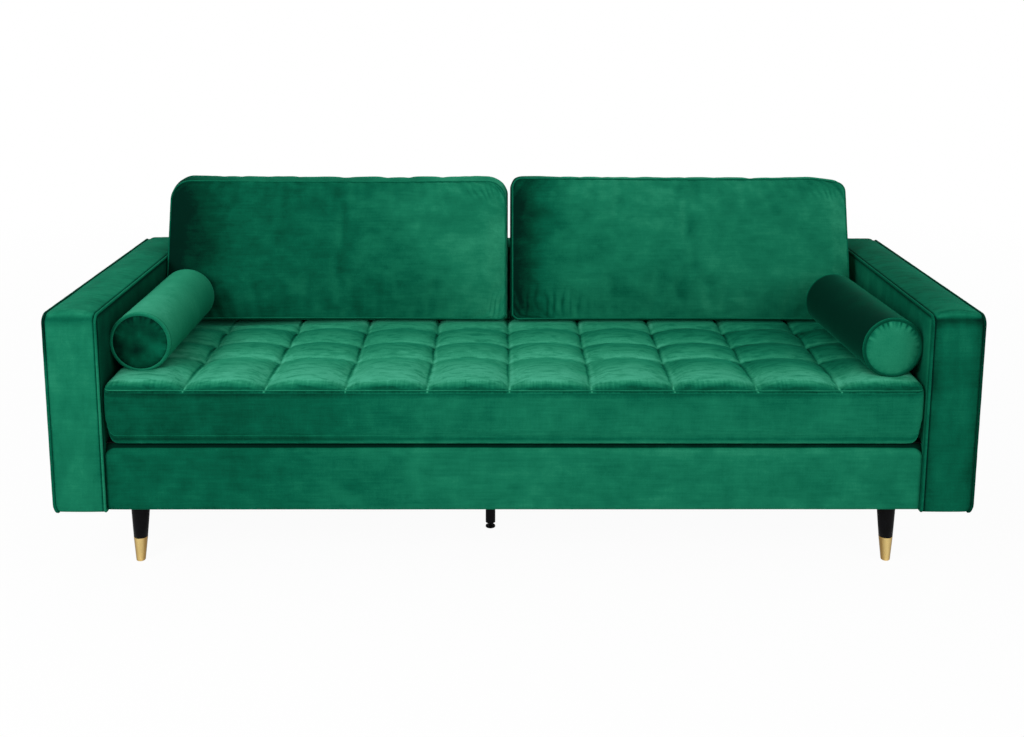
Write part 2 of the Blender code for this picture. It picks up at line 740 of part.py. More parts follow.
def build_bolster(side, setback, turn, velvet, parts):
    """A round bolster lying along the arm, with domed ends, its rear end turned away from the arm."""
    half = BOLSTER_LENGTH / 2
    flat = half - BOLSTER_DOME
    rim = arc((BOLSTER_RADIUS - BOLSTER_RIM, flat - BOLSTER_RIM), BOLSTER_RIM, 90.0, 0.0)
    profile = [(0.0, half), (BOLSTER_RADIUS / 2, half - BOLSTER_DOME_DROP)] + rim
    profile += [(radius, -height) for radius, height in reversed(profile)]
    bolster = turned(
        "bolster_" + side_name(side), profile, False, BOLSTER_STEPS, velvet, parts
    )
    bolster.rotation_euler = (math.pi / 2, 0.0, side * turn)
    crown = SEAT_STITCH_LEVEL + SEAT_PILLOW - BOLSTER_SETTLE
    bolster.location = (
        side * (SEAT_HALF - FIT_GAP - BOLSTER_RADIUS - half * math.sin(turn)),
        FRONT + setback + half * math.cos(turn),
        crown + FIT_GAP + BOLSTER_RADIUS,
    )


def splay(piece, side, end):
    """Leans a leg outwards while its ends stay level, then puts it in its corner."""
    lean = LEG_SPLAY / LEG_TOP
    piece.data.transform(Matrix.Translation((0.0, 0.0, -LEG_TOP)))
    piece.data.transform(Matrix.Shear("XY", 4, (-side * lean, -end * lean)))
    piece.data.transform(Matrix.Translation((0.0, 0.0, LEG_TOP)))
    piece.location = (side * LEG_X, end * LEG_Y, 0.0)


def leg_radius(height):
    """The radius of the taper outside the ferrule."""
    share = (height - FERRULE_HEIGHT) / (LEG_TOP - FERRULE_HEIGHT)
    return LEG_COLLAR_RADIUS + (LEG_TOP_RADIUS - LEG_COLLAR_RADIUS) * share


def ferrule_radius(height):
    share = height / FERRULE_HEIGHT
    return FERRULE_FOOT_RADIUS + (LEG_COLLAR_RADIUS - FERRULE_FOOT_RADIUS) * share


def build_leg(side, end, lacquer, brass, steel, parts, cutters):
    where = end_name(side, end)
    tenon_bottom = FERRULE_WALL + FERRULE_FOOT_ROUND + FIT_GAP
    shoulder = FERRULE_HEIGHT + FIT_GAP
    slack = FERRULE_WALL + FIT_GAP
    profile = [
        (0.0, LEG_TOP + STUD_LENGTH),
        (STUD_RADIUS, LEG_TOP + STUD_LENGTH),
        (STUD_RADIUS, LEG_TOP),
        (LEG_TOP_RADIUS - LEG_TOP_ROUND, LEG_TOP),
        (leg_radius(LEG_TOP - LEG_TOP_ROUND), LEG_TOP - LEG_TOP_ROUND),
        (leg_radius(shoulder), shoulder),
        (ferrule_radius(FERRULE_HEIGHT) - slack, shoulder),
        (ferrule_radius(tenon_bottom) - slack, tenon_bottom),
        (0.0, tenon_bottom),
    ]
    leg = turned("leg_" + where, profile, False, LEG_STEPS, lacquer, parts)
    splay(leg, side, end)

    tip = arc(
        (FERRULE_FOOT_RADIUS - FERRULE_FOOT_ROUND, FERRULE_FOOT_ROUND),
        FERRULE_FOOT_ROUND,
        0.0,
        -90.0,
    )
    floor_of_cup = tenon_bottom - FIT_GAP
    profile = [
        (0.0, floor_of_cup),
        (ferrule_radius(floor_of_cup) - FERRULE_WALL, floor_of_cup),
        (ferrule_radius(FERRULE_HEIGHT) - FERRULE_WALL, FERRULE_HEIGHT),
        (ferrule_radius(FERRULE_HEIGHT), FERRULE_HEIGHT),
        *tip,
        (0.0, 0.0),
    ]
    ferrule = turned("ferrule_" + where, profile, False, LEG_STEPS, brass, parts)
    splay(ferrule, side, end)

    x, y, reach = side * LEG_X, end * LEG_Y, PLATE_SIDE / 2
    plate = block((x - reach, y - reach, PLATE_TOP - PLATE_THICKNESS), (x + reach, y + reach, PLATE_TOP))
    round_edges(plate, PLATE_CORNER, along(Z))
    body = make_object("leg_plate_" + where, plate, steel, parts)
    cut(body, drill("leg_plate_" + where, side, end, LEG_TOP - CUT_OVERRUN, steel, cutters))


def build_centre_support(steel, plastic, parts):
    place = (SUPPORT_X, SUPPORT_Y, 0.0)
    bore = TUBE_RADIUS - TUBE_WALL
    flange_radius = PLATE_SIDE / 2
    flange_bottom = PLATE_TOP - PLATE_THICKNESS
    profile = [
        (0.0, PLATE_TOP),
        (flange_radius, PLATE_TOP),
        (flange_radius, flange_bottom),
        (TUBE_RADIUS, flange_bottom),
        (TUBE_RADIUS, TUBE_BOTTOM),
        (bore, TUBE_BOTTOM),
        (bore, flange_bottom),
        (0.0, flange_bottom),
    ]
    turned("centre_leg_tube", profile, False, SUPPORT_STEPS, steel, parts).location = place

    outer, inner = bore - FIT_GAP, SPINDLE_RADIUS + SPINDLE_CLEARANCE
    top = TUBE_BOTTOM + INSERT_HEIGHT
    profile = [(inner, top), (outer, top), (outer, TUBE_BOTTOM), (inner, TUBE_BOTTOM)]
    turned("centre_leg_nut", profile, True, SUPPORT_STEPS, plastic, parts).location = place

    rim = arc(
        (GLIDE_RADIUS - GLIDE_ROUND, GLIDE_HEIGHT - GLIDE_ROUND), GLIDE_ROUND, 90.0, 0.0
    )
    profile = [
        (0.0, SPINDLE_TOP),
        (SPINDLE_RADIUS, SPINDLE_TOP),
        (SPINDLE_RADIUS, GLIDE_HEIGHT),
        *rim,
        (GLIDE_RADIUS, 0.0),
        (0.0, 0.0),
    ]
    turned("centre_leg_glide", profile, False, SUPPORT_STEPS, steel, parts).location = place


def main():
    clear_scene()
    parts = make_collection("velvet_sofa")
    cutters = make_collection("cutters")
    velvet = make_material("green_velvet", (0.010, 0.200, 0.100), 0.75)
    wood = make_material("frame_wood", (0.550, 0.400, 0.250), 0.70)
    lacquer = make_material("black_lacquer", (0.012, 0.012, 0.013), 0.35)
    brass = make_material("brass", (0.780, 0.550, 0.250), 0.28, 1.0)
    steel = make_material("black_steel", (0.030, 0.030, 0.032), 0.45, 1.0)
    plastic = make_material("black_plastic", (0.020, 0.020, 0.020), 0.55)
    webbing = make_material("webbing", (0.080, 0.075, 0.070), 0.90)
    lining = make_material("black_lining", (0.015, 0.015, 0.015), 0.95)

    build_base_frame(wood, parts, cutters)
    build_apron(velvet, parts)
    build_suspension(webbing, lining, parts, cutters)
    build_back(wood, velvet, parts)
    for side in (-1, 1):
        build_arm_frame(side, wood, parts, cutters)
        build_arm_padding(side, velvet, parts)
        for end in (-1, 1):
            build_leg(side, end, lacquer, brass, steel, parts, cutters)
    build_centre_support(steel, plastic, parts)

    build_seat_cushion(velvet, parts)
    left_middle = -SEAT_HALF + CUSHION_LEFT_ARM_GAP + CUSHION_WIDTH / 2
    right_middle = SEAT_HALF - CUSHION_RIGHT_ARM_GAP - CUSHION_WIDTH / 2
    build_back_cushion("back_cushion_left", left_middle, velvet, parts)
    build_back_cushion("back_cushion_right", right_middle, velvet, parts)
    build_bolster(-1, BOLSTER_LEFT_SETBACK, BOLSTER_LEFT_TURN, velvet, parts)
    build_bolster(1, BOLSTER_RIGHT_SETBACK, BOLSTER_RIGHT_TURN, velvet, parts)


main()
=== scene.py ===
# Velvet sofa: box arms, a tufted bench cushion, two back cushions, two bolsters, legs with brass tips.
# Metres. The sofa faces -Y, +X is on its right seen from the front, and it stands on Z 0.

import math

import bmesh
import bpy
import numpy as np
from mathutils import Matrix, Vector, noise


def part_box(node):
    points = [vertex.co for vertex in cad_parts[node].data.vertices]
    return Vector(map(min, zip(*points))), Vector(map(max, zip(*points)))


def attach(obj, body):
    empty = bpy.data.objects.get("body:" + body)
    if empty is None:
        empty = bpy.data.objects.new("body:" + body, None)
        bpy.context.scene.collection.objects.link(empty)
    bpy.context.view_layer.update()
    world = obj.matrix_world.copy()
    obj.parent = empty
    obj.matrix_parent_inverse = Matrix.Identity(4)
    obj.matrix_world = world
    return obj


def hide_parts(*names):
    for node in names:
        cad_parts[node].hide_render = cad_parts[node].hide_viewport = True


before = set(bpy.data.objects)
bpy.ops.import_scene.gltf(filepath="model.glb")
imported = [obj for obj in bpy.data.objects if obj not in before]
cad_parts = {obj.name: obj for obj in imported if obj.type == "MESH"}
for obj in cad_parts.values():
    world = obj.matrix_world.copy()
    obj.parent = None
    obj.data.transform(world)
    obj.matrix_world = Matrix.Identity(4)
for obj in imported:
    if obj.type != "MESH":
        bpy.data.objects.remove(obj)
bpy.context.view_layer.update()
print("frame loaded")


# Selecting and moving points

def deselectAll():
    if bpy.context.mode != "OBJECT":
        bpy.ops.object.mode_set(mode="OBJECT")
    bpy.ops.object.select_all(action="DESELECT")


def workOn(piece):
    deselectAll()
    piece.select_set(True)
    bpy.context.view_layer.objects.active = piece


def pointsOf(piece):
    flat = np.empty(len(piece.data.vertices) * 3, np.float32)
    piece.data.vertices.foreach_get("co", flat)
    return flat.reshape(-1, 3).astype(float)


def placePoints(piece, points):
    piece.data.vertices.foreach_set("co", np.asarray(points, np.float32).ravel())
    piece.data.update()


def normalsOf(piece):
    flat = np.empty(len(piece.data.vertices) * 3, np.float32)
    piece.data.vertices.foreach_get("normal", flat)
    return flat.reshape(-1, 3).astype(float)


def paint(piece, tones, name="shade"):  # painted light and shade on the pile at each point
    tones = np.broadcast_to(np.asarray(tones, np.float32), len(piece.data.vertices))
    layer = piece.data.attributes.get(name) or piece.data.attributes.new(name, "FLOAT", "POINT")
    layer.data.foreach_set("value", np.ascontiguousarray(tones))


def tonesOf(piece):
    tones = np.empty(len(piece.data.vertices), np.float32)
    piece.data.attributes["shade"].data.foreach_get("value", tones)
    return tones


def unevenness(points, scale, shift=0.0):  # smooth noise from -1 to 1 at each point
    offset = Vector((shift, shift * 0.7, -shift))
    return np.array([noise.noise(Vector(point) * scale + offset) for point in points])


def smoothStep(low, high, value):
    share = np.clip((value - low) / (high - low), 0.0, 1.0)
    return share * share * (3 - 2 * share)


def bell(offset, width):  # 1 where the offset is 0, fading to both sides
    return np.exp(-((offset / width) ** 2))


def boxOf(node, lap=0.0):  # a node's corners, middle and half size
    low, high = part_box(node)
    low.y -= lap
    return low, high, (low + high) / 2, (high - low) / 2


# Starting forms

def choose(kind, fits):  # in edit mode: selects the edges or faces that fit
    bpy.ops.mesh.select_mode(type=kind)
    bpy.ops.mesh.select_all(action="DESELECT")
    mesh = bmesh.from_edit_mesh(bpy.context.object.data)
    for part in mesh.edges if kind == "EDGE" else mesh.faces:
        part.select_set(bool(fits(part)))
    bmesh.update_edit_mesh(bpy.context.object.data)


def runsAlong(edge, axis):
    first, second = (point.co for point in edge.verts)
    return abs(first[axis] - second[axis]) > 1e-6


def cutAlong(axis, parts):  # in edit mode: splits the edges that run along an axis
    for part in parts:
        choose("EDGE", lambda edge: runsAlong(edge, axis))
        bpy.ops.mesh.subdivide(number_cuts=part - 1)


def latticeBox(name, across, along, up):  # a box from -1 to 1, cut into even cells
    deselectAll()
    bpy.ops.mesh.primitive_cube_add(size=2.0)
    box = bpy.context.object
    box.name = name
    bpy.ops.object.mode_set(mode="EDIT")
    for axis, parts in enumerate((across, along, up)):
        cutAlong(axis, parts)
    bpy.ops.object.mode_set(mode="OBJECT")
    return box


def crowd(place, amount):  # moves even lines towards both ends, -1 and 1
    return place + amount * np.sin(math.pi * place) / math.pi


def roundOff(a, b, halfA, halfB, radius):  # bends a rectangle's corners into arcs
    overA = np.abs(a) - (halfA - radius)
    overB = np.abs(b) - (halfB - radius)
    corner = (overA > 0) & (overB > 0)
    shareA = np.clip(overA / radius, 0.0, 1.0)
    shareB = np.clip(overB / radius, 0.0, 1.0)
    roundA = halfA - radius + radius * shareA * np.sqrt(1 - shareB * shareB / 2)
    roundB = halfB - radius + radius * shareB * np.sqrt(1 - shareA * shareA / 2)
    return np.where(corner, np.copysign(roundA, a), a), np.where(corner, np.copysign(roundB, b), b)


def outwardFrom(a, b, halfA, halfB, radius):  # directions that point out of such a rounded rectangle
    overA = np.maximum(np.abs(a) - (halfA - radius), 0.0) * np.sign(a)
    overB = np.maximum(np.abs(b) - (halfB - radius), 0.0) * np.sign(b)
    length = np.maximum(np.hypot(overA, overB), 1e-9)
    return overA / length, overB / length


def roundRise(distance, reach):  # a quarter round that rises from an edge
    share = np.clip(distance / reach, 0.0, 1.0)
    return np.sqrt(1 - (1 - share) ** 2)


def rimOrder(u, v):  # place along a square's rim, from 0 to 8
    return np.select([v == -1, u == 1, v == 1], [u + 1, v + 3, 5 - u], default=7 - v)


def inOrder(chosen, u, v):  # the chosen rim points, one after another
    loop = np.nonzero(chosen)[0]
    return loop[np.argsort(rimOrder(u[loop], v[loop]))]


def settleOrder(piece):  # in edit mode: numbers edges and faces by their points, the same in each run
    mesh = bmesh.from_edit_mesh(piece.data)
    mesh.verts.index_update()
    for parts in (mesh.edges, mesh.faces):
        ordered = sorted(parts, key=lambda part: sorted(point.index for point in part.verts))
        ranks = {part: rank for rank, part in enumerate(ordered)}
        parts.sort(key=ranks.get)
    bmesh.update_edit_mesh(piece.data)


def applyModifiers(piece):
    workOn(piece)
    for modifier in list(piece.modifiers):
        bpy.ops.object.modifier_apply(modifier=modifier.name)


def smoothOut(piece, levels=1):
    soften = piece.modifiers.new("soften", "SUBSURF")
    soften.levels = soften.render_levels = levels
    applyModifiers(piece)
    bpy.ops.object.shade_smooth()


def thicken(piece, depth, levels=0):  # a wall behind an open face
    if levels:
        soften = piece.modifiers.new("soften", "SUBSURF")
        soften.levels = soften.render_levels = levels
    wall = piece.modifiers.new("wall", "SOLIDIFY")
    wall.thickness = depth
    wall.offset = -1.0
    applyModifiers(piece)


def closeHoles(piece):
    workOn(piece)
    bpy.ops.object.mode_set(mode="EDIT")
    mesh = bmesh.from_edit_mesh(piece.data)
    bmesh.ops.holes_fill(mesh, edges=[edge for edge in mesh.edges if edge.is_boundary], sides=0)
    bmesh.ops.recalc_face_normals(mesh, faces=mesh.faces)
    bmesh.update_edit_mesh(piece.data)
    bpy.ops.object.mode_set(mode="OBJECT")
    bpy.ops.object.shade_smooth()


def piping(name, route, radius, closed, tone):
    deselectAll()
    curve = bpy.data.curves.new(name, "CURVE")
    curve.dimensions = "3D"
    curve.bevel_depth = radius
    curve.bevel_resolution = 3
    curve.use_fill_caps = True
    spline = curve.splines.new("POLY")
    spline.points.add(len(route) - 1)
    route = route + 0.0003 * np.stack([unevenness(route, 60, shift) for shift in (3, 7, 11)], 1)
    for point, place in zip(spline.points, route):
        point.co = (*place, 1.0)
    spline.use_cyclic_u = closed
    cord = bpy.data.objects.new(name, curve)
    bpy.context.collection.objects.link(cord)
    workOn(cord)
    bpy.ops.object.convert(target="MESH")
    cord = bpy.context.object
    paint(cord, tone)
    bpy.ops.object.shade_smooth()
    return cord


filling = {"quality": 6, "mass": 0.3, "stiffness": 20.0, "bending": 0.3, "steps": 20, "reach": 0.012}


def inflate(piece, sewn, pressure, looseness):  # blows the cloth up between its sewn points
    group = piece.vertex_groups.new(name="sewn")
    group.add([int(index) for index in np.nonzero(sewn)[0]], 1.0, "REPLACE")
    before = pointsOf(piece)
    workOn(piece)
    cloth = piece.modifiers.new("filling", "CLOTH")
    cloth.settings.quality = filling["quality"]
    cloth.settings.mass = filling["mass"]
    cloth.settings.tension_stiffness = filling["stiffness"]
    cloth.settings.compression_stiffness = filling["stiffness"]
    cloth.settings.shear_stiffness = filling["stiffness"] / 2
    cloth.settings.bending_stiffness = filling["bending"]
    cloth.settings.vertex_group_mass = "sewn"
    cloth.settings.use_pressure = True
    cloth.settings.uniform_pressure_force = pressure
    cloth.settings.shrink_min = -looseness
    cloth.settings.effector_weights.gravity = 0.0
    cloth.point_cache.frame_start = 1
    cloth.point_cache.frame_end = filling["steps"]
    for step in range(1, filling["steps"] + 1):
        bpy.context.scene.frame_set(step)
    bpy.ops.object.modifier_apply(modifier=cloth.name)
    bpy.context.scene.frame_set(1)
    moved = pointsOf(piece) - before
    length = np.linalg.norm(moved, axis=1, keepdims=True)
    placePoints(piece, before + moved * np.minimum(1.0, filling["reach"] / np.maximum(length, 1e-9)))
    piece.vertex_groups.clear()


def dress(piece, finish, body, nodes=()):
    piece.data.materials.clear()
    piece.data.materials.append(finishes[finish])
    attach(piece, body)
    if nodes:
        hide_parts(*nodes)


def coverPanel(piece, points, tone, finish, node): # the last steps of a plain padded panel
    placePoints(piece, points)
    paint(piece, tone)
    smoothOut(piece)
    dress(piece, finish, "frame", [node])


# Materials

class Wire:  # a socket that takes part in sums
    def __init__(self, board, socket):
        self.board = board
        self.socket = socket

    def maths(self, operation, first, second):
        return self.board.add("ShaderNodeMath", {"operation": operation}, {0: first, 1: second})

    def __add__(self, other):
        return self.maths("ADD", self, other)

    def __radd__(self, other):
        return self.maths("ADD", other, self)

    def __sub__(self, other):
        return self.maths("SUBTRACT", self, other)

    def __rsub__(self, other):
        return self.maths("SUBTRACT", other, self)

    def __mul__(self, other):
        return self.maths("MULTIPLY", self, other)

    def __rmul__(self, other):
        return self.maths("MULTIPLY", other, self)


class Board:  # the nodes of a material or a world
    def __init__(self, owner):
        self.owner = owner
        owner.use_nodes = True
        self.tree = owner.node_tree
        self.tree.nodes.clear()

    def add(self, kind, settings=None, sockets=None, output=0):
        node = self.tree.nodes.new(kind)
        for setting, value in (settings or {}).items():
            if setting == "stops":
                self.setStops(node.color_ramp, value)
            else:
                setattr(node, setting, value)
        for key, value in (sockets or {}).items():
            if isinstance(value, Wire):
                self.tree.links.new(value.socket, node.inputs[key])
            else:
                node.inputs[key].default_value = value
        return Wire(self, node.outputs[output]) if node.outputs else node

    def setStops(self, ramp, stops):
        while len(ramp.elements) < len(stops):
            ramp.elements.new(0.5)
        for element, (place, colour) in zip(ramp.elements, stops):
            element.position = place
            element.color = (*colour, 1.0)

    def noise(self, place, stretch, scale, detail=3.0, distortion=0.0):
        spread = self.add("ShaderNodeMapping", {}, {"Vector": place, "Scale": stretch})
        return self.add(
            "ShaderNodeTexNoise", {},
            {"Vector": spread, "Scale": scale, "Detail": detail, "Distortion": distortion},
        )

    def finish(self, shader):
        self.add("ShaderNodeOutputMaterial", {}, {"Surface": shader})
        return self.owner


velvetTones = (  # from the darkest painted shade to the lightest painted highlight on the pile
    (0.00, (0.0003, 0.015, 0.009)),
    (0.20, (0.0006, 0.045, 0.023)),
    (0.40, (0.0018, 0.091, 0.048)),
    (0.60, (0.0070, 0.150, 0.079)),
    (0.80, (0.0210, 0.227, 0.124)),
    (1.00, (0.0560, 0.350, 0.215)),
)
evenFrontFacingShade = ((0.0, 0.5), (1.0, 0.5))
seatFrontFacingShade = (  # painted light and shade against how far the surface faces the front
    (0.00, 0.50), (0.12, 0.54), (0.22, 0.60), (0.36, 0.56), (0.50, 0.50), (0.60, 0.44), (0.75, 0.38),
)


def velvet(
    name, paintedLightDirection=(0.0, 0.0, 0.0), patches=0.45, brushed=(1.0, 1.0, 0.6), turned=evenFrontFacingShade, strokes=0.0, grain=0.18
):
    board = Board(bpy.data.materials.new(name))
    place = board.add("ShaderNodeTexCoord", output="Object")
    normal = board.add("ShaderNodeNewGeometry", output="Normal")
    # painted light: faces turned towards this direction are painted lighter, faces turned away darker
    paintedDirectionalLight = board.add(
        "ShaderNodeVectorMath", {"operation": "DOT_PRODUCT"}, {0: normal, 1: paintedLightDirection}, output="Value"
    )
    clouds = board.noise(place, brushed, 7.0, 4.0, 0.5)
    marks = board.noise(place, brushed, 28.0, 4.0, 0.3)
    streaks = board.noise(place, (24.0, 90.0, 90.0), 1.0, 4.0, 0.4)
    lines = board.noise(place, (12.0, 210.0, 210.0), 1.0, 2.0)
    weave = board.noise(place, (230.0, 230.0, 20.0), 1.0, 2.0)
    raggedBorder = board.noise(place, (170.0, 10.0, 10.0), 1.0, 3.0)
    pile = board.noise(place, (1.0, 1.0, 1.0), 380.0, 2.0)
    shade = board.add("ShaderNodeAttribute", {"attribute_name": "shade"}, output="Fac")
    fringe = board.add("ShaderNodeAttribute", {"attribute_name": "fringe"}, output="Fac")
    forward = board.add("ShaderNodeSeparateXYZ", {}, {0: normal}, output=1)
    upwards = board.add("ShaderNodeSeparateXYZ", {}, {0: normal}, output=2)
    # painted light and shade by how far the surface faces the front
    paintedFacingShade = board.add(
        "ShaderNodeValToRGB", {"stops": [(where, (grey,) * 3) for where, grey in turned]},
        {"Fac": forward * 0.5 + 0.5 + (marks - 0.5) * 0.14},
    )
    rubbed = board.add("ShaderNodeMapRange", {}, {"Value": streaks, "From Min": 0.49, "From Max": 0.66})
    paintedFrontRollShade = board.add(
        "ShaderNodeMapRange", {},
        {"Value": fringe + (raggedBorder - 0.5) * 0.35 + (marks - 0.5) * 0.45, "From Min": 0.20, "From Max": 0.82},
    )  # painted shade where the front pillows roll over their edge, with a ragged border
    tone = shade + paintedDirectionalLight + (paintedFacingShade - 0.5) + (clouds - 0.5) * patches + (marks - 0.5) * (patches * 0.75)
    tone = tone + (lines - 0.5) * grain + (weave - 0.5) * (grain * 0.4) + (pile - 0.5) * 0.16
    tone = tone - rubbed * upwards * strokes - paintedFrontRollShade * 0.64
    colour = board.add("ShaderNodeValToRGB", {"stops": velvetTones}, {"Fac": tone})
    raised = board.add(
        "ShaderNodeBump", {}, {"Strength": 0.2, "Distance": 0.0006, "Height": pile * 0.6 + lines * 0.5}
    )
    shader = board.add(
        "ShaderNodeBsdfPrincipled", {},
        {
            "Base Color": colour, "Roughness": 0.74 + (marks - 0.5) * 0.2, "Normal": raised,
            "Specular IOR Level": 0.012, "Sheen Weight": 0.16, "Sheen Roughness": 0.35,
            "Sheen Tint": (0.04, 0.80, 0.45, 1.0),
        },
    )
    return board.finish(shader)


def plainFinish(
    name, light, dark, roughness, metallic=0.0, grain=(1.0, 1.0, 1.0), scale=30.0, shine=0.5, spread=1.0,
    paintedSideShade=0.0,
):
    board = Board(bpy.data.materials.new(name))
    place = board.add("ShaderNodeTexCoord", output="Object")
    broad = board.noise(place, grain, scale, 4.0, 0.3)
    fine = board.noise(place, grain, scale * 9, 2.0)
    normal = board.add("ShaderNodeNewGeometry", output="Normal")
    sideways = board.add("ShaderNodeSeparateXYZ", {}, {0: normal}, output=0)
    # painted reflection: lighter where the surface faces ahead, darker where it faces sideways
    tone = (broad * 0.7 + fine * 0.3 - 0.5) * spread + 0.5 + (0.25 - sideways * sideways) * paintedSideShade
    colour = board.add("ShaderNodeValToRGB", {"stops": ((0.3, dark), (0.7, light))}, {"Fac": tone})
    raised = board.add("ShaderNodeBump", {}, {"Strength": 0.15, "Distance": 0.0006, "Height": fine})
    shader = board.add(
        "ShaderNodeBsdfPrincipled", {},
        {
            "Base Color": colour, "Roughness": roughness + (broad - 0.5) * 0.12, "Metallic": metallic,
            "Specular IOR Level": shine, "Normal": raised,
        },
    )
    return board.finish(shader)


finishes = {
    "lacquer": plainFinish(
        "blackLacquer", (0.004, 0.004, 0.005), (0.002, 0.002, 0.002), 0.38, scale=60.0, shine=0.06
    ),
    # brass with a painted reflection down its sides
    "brass": plainFinish(
        "brushedBrass", (1.0, 0.74, 0.30), (0.42, 0.26, 0.08), 0.26, 1.0, (1.0, 1.0, 0.1), 90.0,
        spread=0.3, paintedSideShade=0.50,
    ),
    "steel": plainFinish("blackSteel", (0.006, 0.006, 0.007), (0.003, 0.003, 0.004), 0.42, shine=0.08),
    "plastic": plainFinish("blackPlastic", (0.022, 0.022, 0.022), (0.014, 0.014, 0.014), 0.50),
    "wood": plainFinish(
        "frameWood", (0.60, 0.44, 0.27), (0.42, 0.28, 0.15), 0.65, grain=(0.15, 1.0, 1.0), scale=60.0
    ),
    "plywood": plainFinish(
        "armPlywood", (0.62, 0.48, 0.31), (0.48, 0.35, 0.20), 0.65, grain=(4.0, 0.3, 1.0), scale=50.0
    ),
    "webbing": plainFinish(
        "seatWebbing", (0.11, 0.10, 0.09), (0.05, 0.047, 0.043), 0.85, grain=(9.0, 1.0, 1.0), scale=90.0
    ),
    "lining": plainFinish(
        "blackLining", (0.007, 0.007, 0.007), (0.003, 0.003, 0.003), 0.90, scale=120.0, shine=0.1
    ),
    "seatVelvet": velvet("seatVelvet", (0.0, 0.0, 0.0), 0.26, (1.0, 1.0, 1.0), seatFrontFacingShade, 0.14),
    "backVelvet": velvet("backVelvet", (0.30, 0.0, 0.05), 0.40, (0.8, 1.0, 1.1), grain=0.14),
    "armVelvet": velvet("armVelvet", (0.0, 0.0, 0.0), 0.40, strokes=0.10, grain=0.12),
    "baseVelvet": velvet("baseVelvet", (0.0, 0.0, 0.0), 0.36, (0.8, 1.0, 1.0), grain=0.16),
    "bolsterVelvet": velvet("bolsterVelvet", (0.0, 0.0, 0.04), 0.20, grain=0.08),
    "pipingVelvet": velvet("pipingVelvet", (0.0, 0.0, 0.10), 0.20),
}
print("materials made")


# Bench cushion

seat = {
    "columns": 10,
    "rows": 5,
    "frontRow": 0.225,  # depth of the front row of pillows
    "shift": -0.014,  # the stitched grid sits a little to the left
    "cellsAcross": 16,
    "cellsFront": 18,
    "cellsBehind": 12,
    "crowding": 0.80,  # how far the mesh lines move towards the seams
    "drift": 0.0022,  # how far the stitched lines wander
    "topSeam": 0.476,
    "lowerSeam": 0.362,
    "knot": 0.467,  # height where two stitched lines cross
    "rowArch": 0.015,  # how far a line rises between two crossings
    "columnArch": 0.009,
    "pillow": 0.012,
    "edgeRound": 0.030,  # the top rounds down to its seam, front and rear
    "sideRound": 0.022,
    "corner": 0.022,
    "bulge": 0.002,
    "seamInset": 0.0022,
    "cord": 0.0012,
    "boxingRings": 8,
    "underRings": 4,
    "underInset": 0.009,
    "lowerRound": 0.030,  # the lower edge turns up at the front corners
    "pressed": 0.4878,  # height under the back cushions
    "leftHollow": 0.012,  # the left one stands clear of the seat at its outer end
    "clear": 0.0004,  # between the cover and a bolster
    "pressure": 4.0,
    "looseness": 0.02,
}
# painted light and shade on the seat's velvet; the boxing's tone is its base
seatTones = {
    "rows": (0.94, 0.76, 0.68, 0.63, 0.61),  # painted light per row, front row first
    "rearShades": (0.15, 0.20, 0.18, 0.05, 0.00),  # painted shade: how much darker each row is at its rear
    "ridgeHighlights": (0.0, 0.07, 0.08, 0.05, 0.04),  # the painted highlight along each row's front edge
    "rightShade": 0.26,
    "behindRowSeamShade": 0.30,
    "beforeRowSeamShade": 0.24,
    "columnSeamShade": 0.60,
    "columnLight": 0.12,
    "columnShade": 0.15,
    "crossingHighlight": 0.16,
    "paintedLightNearFoot": 0.24,  # painted light against the shadow of the back cushions' feet
    "boxing": 0.505,
    "boxingLeftShade": 0.215,
    "boxingUnderLight": 0.14,
    "boxingSeamShade": 0.16,
    # painted light: the top cord lighter than the lower one
    "cords": {"top": 0.60, "lower": 0.46},
}


def cellPlace(share, cells, counts):  # cell number and place in it, from -1 to 1
    edges = np.concatenate([[0], np.cumsum(counts)])
    index = np.rint(share * edges[-1]).astype(int)
    cell = np.clip(np.searchsorted(edges, index, side="right") - 1, 0, cells - 1)
    return cell, 2 * (index - edges[cell]) / np.asarray(counts)[cell] - 1


